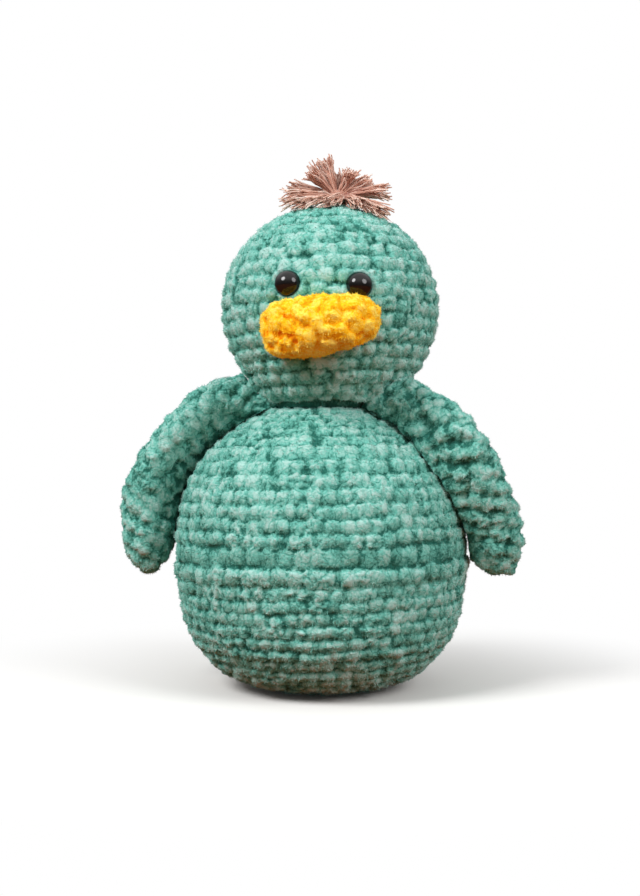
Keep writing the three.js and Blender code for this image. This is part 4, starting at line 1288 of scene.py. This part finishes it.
# %% The tree that turns lines into threads
THREAD_RADIUS = 0.34 * MM
THREAD_SIDES = 4
thread_tree, put, given = start_tree("threads", Lines="Geometry", Radius="Float", Material="Material")
curves = put("GeometryNodeMeshToCurve", {"Mesh": given["Lines"]})
section = put("GeometryNodeCurvePrimitiveCircle", {"Resolution": THREAD_SIDES, "Radius": given["Radius"]})
thickness = put(NAMED, {"Name": "thickness"}, data_type="FLOAT")
tubes = put("GeometryNodeCurveToMesh", {"Curve": curves, "Profile Curve": section, "Fill Caps": True,
                                        "Scale": thickness})
tubes = put(SET_MATERIAL, {"Geometry": put(REALIZE, {"Geometry": tubes}), "Material": given["Material"]})
put("NodeGroupOutput", {"Geometry": tubes})
print("nodes that make threads:", len(thread_tree.nodes))

# %% Where the knot sits and where each lock ends
KNOT_RADIUS = 4 * MM
KNOT_SINK = 1.5 * MM
TUFT_SHIFT = 3 * MM
TUFT_FORWARD = 2 * MM
# From the knot's middle, in mm: to the left, backwards and up
LOCK_TIPS = [(-6, -2, 16.5), (-12.5, -5, 11), (-20, 2, 5), (-22.5, -9, -2), (-16.6, -15, -6.5), (-7, -18, -6),
             (5.5, -5, 11), (14, -1, 7.5), (21, -5, 1.5), (20, -15, -9), (10, -18, -7), (-9, 13, 2),
             (10, 13.5, 1), (1, 8, 12)]
knot_rise = HEAD_RISE * math.sqrt(1 - (math.hypot(TUFT_SHIFT, TUFT_FORWARD) / HEAD_RADIUS) ** 2)
KNOT = HEAD_MIDDLE + (TUFT_SHIFT, -TUFT_FORWARD, knot_rise + KNOT_RADIUS - KNOT_SINK)
print("knot's middle in mm:", np.round(KNOT / MM, 1))

# %% The lines of a lock's threads
LOCK_ARCH = 3 * MM
LOCK_CURL = 2 * MM
THREADS_IN_LOCK = 95
THREAD_POINTS = 10
# Threads end at different shares of the lock's length, and a lock is flatter than it is wide
CUT_SHORT, CUT_LONG = 0.6, 0.99
LOCK_FLATNESS = 0.7
CRIMP = 0.75 * MM
CRIMP_TURNS = 8
# The fan's half width at the knot, how much it gains towards the cut end, and its curve
FAN_ROOT, FAN_GAIN, FAN_CURVE = 1.0, 3.2, 1.3
FRAY = 1.5 * MM
# "shade" makes a thread paler towards its cut end, and each thread has its own shade too
ROOT_SHADE, END_SHADE, THREAD_SHADE = 0.14, 0.56, 0.64
END_THINNING = 0.3


def lock_lines(tip, draw):
    tip = np.array(tip, float) * MM
    bend = tip / 2 + np.array([0, 0, LOCK_ARCH])
    start = unit(bend) * KNOT_RADIUS * 0.5
    across = unit(np.cross(tip, upright))
    curl = draw.normal(0, 1) * across * LOCK_CURL
    lift = np.cross(across, unit(tip))
    points, edges, tones, thickness = [], [], [], []
    for _ in range(THREADS_IN_LOCK):
        turn, reach = draw.uniform(0, 2 * np.pi), math.sqrt(draw.uniform(0, 1))
        spread = reach * (math.cos(turn) * across + LOCK_FLATNESS * math.sin(turn) * lift)
        long = draw.uniform(CUT_SHORT, CUT_LONG)
        crimp = draw.normal(0, 1, 3) * CRIMP
        phase, own = draw.uniform(0, 6), draw.uniform(0, 1)
        t = np.linspace(0, 1, THREAD_POINTS) * long
        line = (1 - t)[:, None] ** 2 * start + 2 * ((1 - t) * t)[:, None] * bend + t[:, None] ** 2 * tip
        fan = (FAN_ROOT + FAN_GAIN * t ** FAN_CURVE) * MM
        line = line + fan[:, None] * spread + np.sin(t * CRIMP_TURNS + phase)[:, None] * crimp * t[:, None]
        line = line + np.sin(t * np.pi)[:, None] * curl + (t ** 4)[:, None] * (reach * FRAY) * unit(spread)
        first = len(points)
        points += list(KNOT + line)
        edges += [(first + k, first + k + 1) for k in range(THREAD_POINTS - 1)]
        tones += list(ROOT_SHADE + END_SHADE * t / long + THREAD_SHADE * (own - 0.5))
        thickness += list(1 - END_THINNING * (t / long) ** 3)
    return points, edges, tones, thickness


# %% The lines of the knot: loops of thread wound every way round a ball
KNOT_LOOPS = 90
LOOP_POINTS = 24
# The least and the most of a loop's radius, as shares of the knot's, and of its shade
LOOP_SIZES = (0.86, 0.97)
LOOP_SHADES = (0.0, 0.4)


def knot_lines(draw):
    points, edges, tones = [], [], []
    loop = np.linspace(0, 2 * np.pi, LOOP_POINTS, endpoint=False)[:, None]
    for _ in range(KNOT_LOOPS):
        one = unit(draw.normal(0, 1, 3))
        other = unit(np.cross(one, draw.normal(0, 1, 3)))
        size = KNOT_RADIUS * draw.uniform(*LOOP_SIZES)
        first = len(points)
        points += list(KNOT + size * (np.cos(loop) * one + np.sin(loop) * other))
        edges += [(first + k, first + (k + 1) % LOOP_POINTS) for k in range(LOOP_POINTS)]
        tones += [draw.uniform(*LOOP_SHADES)] * LOOP_POINTS
    return points, edges, tones, [1.0] * len(points)


# %% The tuft
TUFT_SEED = 21
TUFT_OFF_HEAD = 0.5 * MM
draw = np.random.default_rng(TUFT_SEED)
bundles = [("tuft_lock_%02d" % number, lock_lines(tip, draw)) for number, tip in enumerate(LOCK_TIPS, 1)]
for node, (points, edges, tones, thickness) in [*bundles, ("tuft_knot", knot_lines(draw))]:
    lines = mesh_object("lines", points, [], edges)
    for field, values in (("shade", tones), ("thickness", thickness)):
        stored = lines.data.attributes.new(field, "FLOAT", "POINT")
        stored.data.foreach_set("value", np.array(values, np.float32))
    put_tree(lines, thread_tree, Radius=THREAD_RADIUS, Material=brown_thread)
    lock = plain_result(node + "_threads", lines)
    moved(lock, off_head(TUFT_OFF_HEAD))
    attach(lock, "head")
    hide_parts(node)
print("threads in the tuft:", THREADS_IN_LOCK * len(LOCK_TIPS))
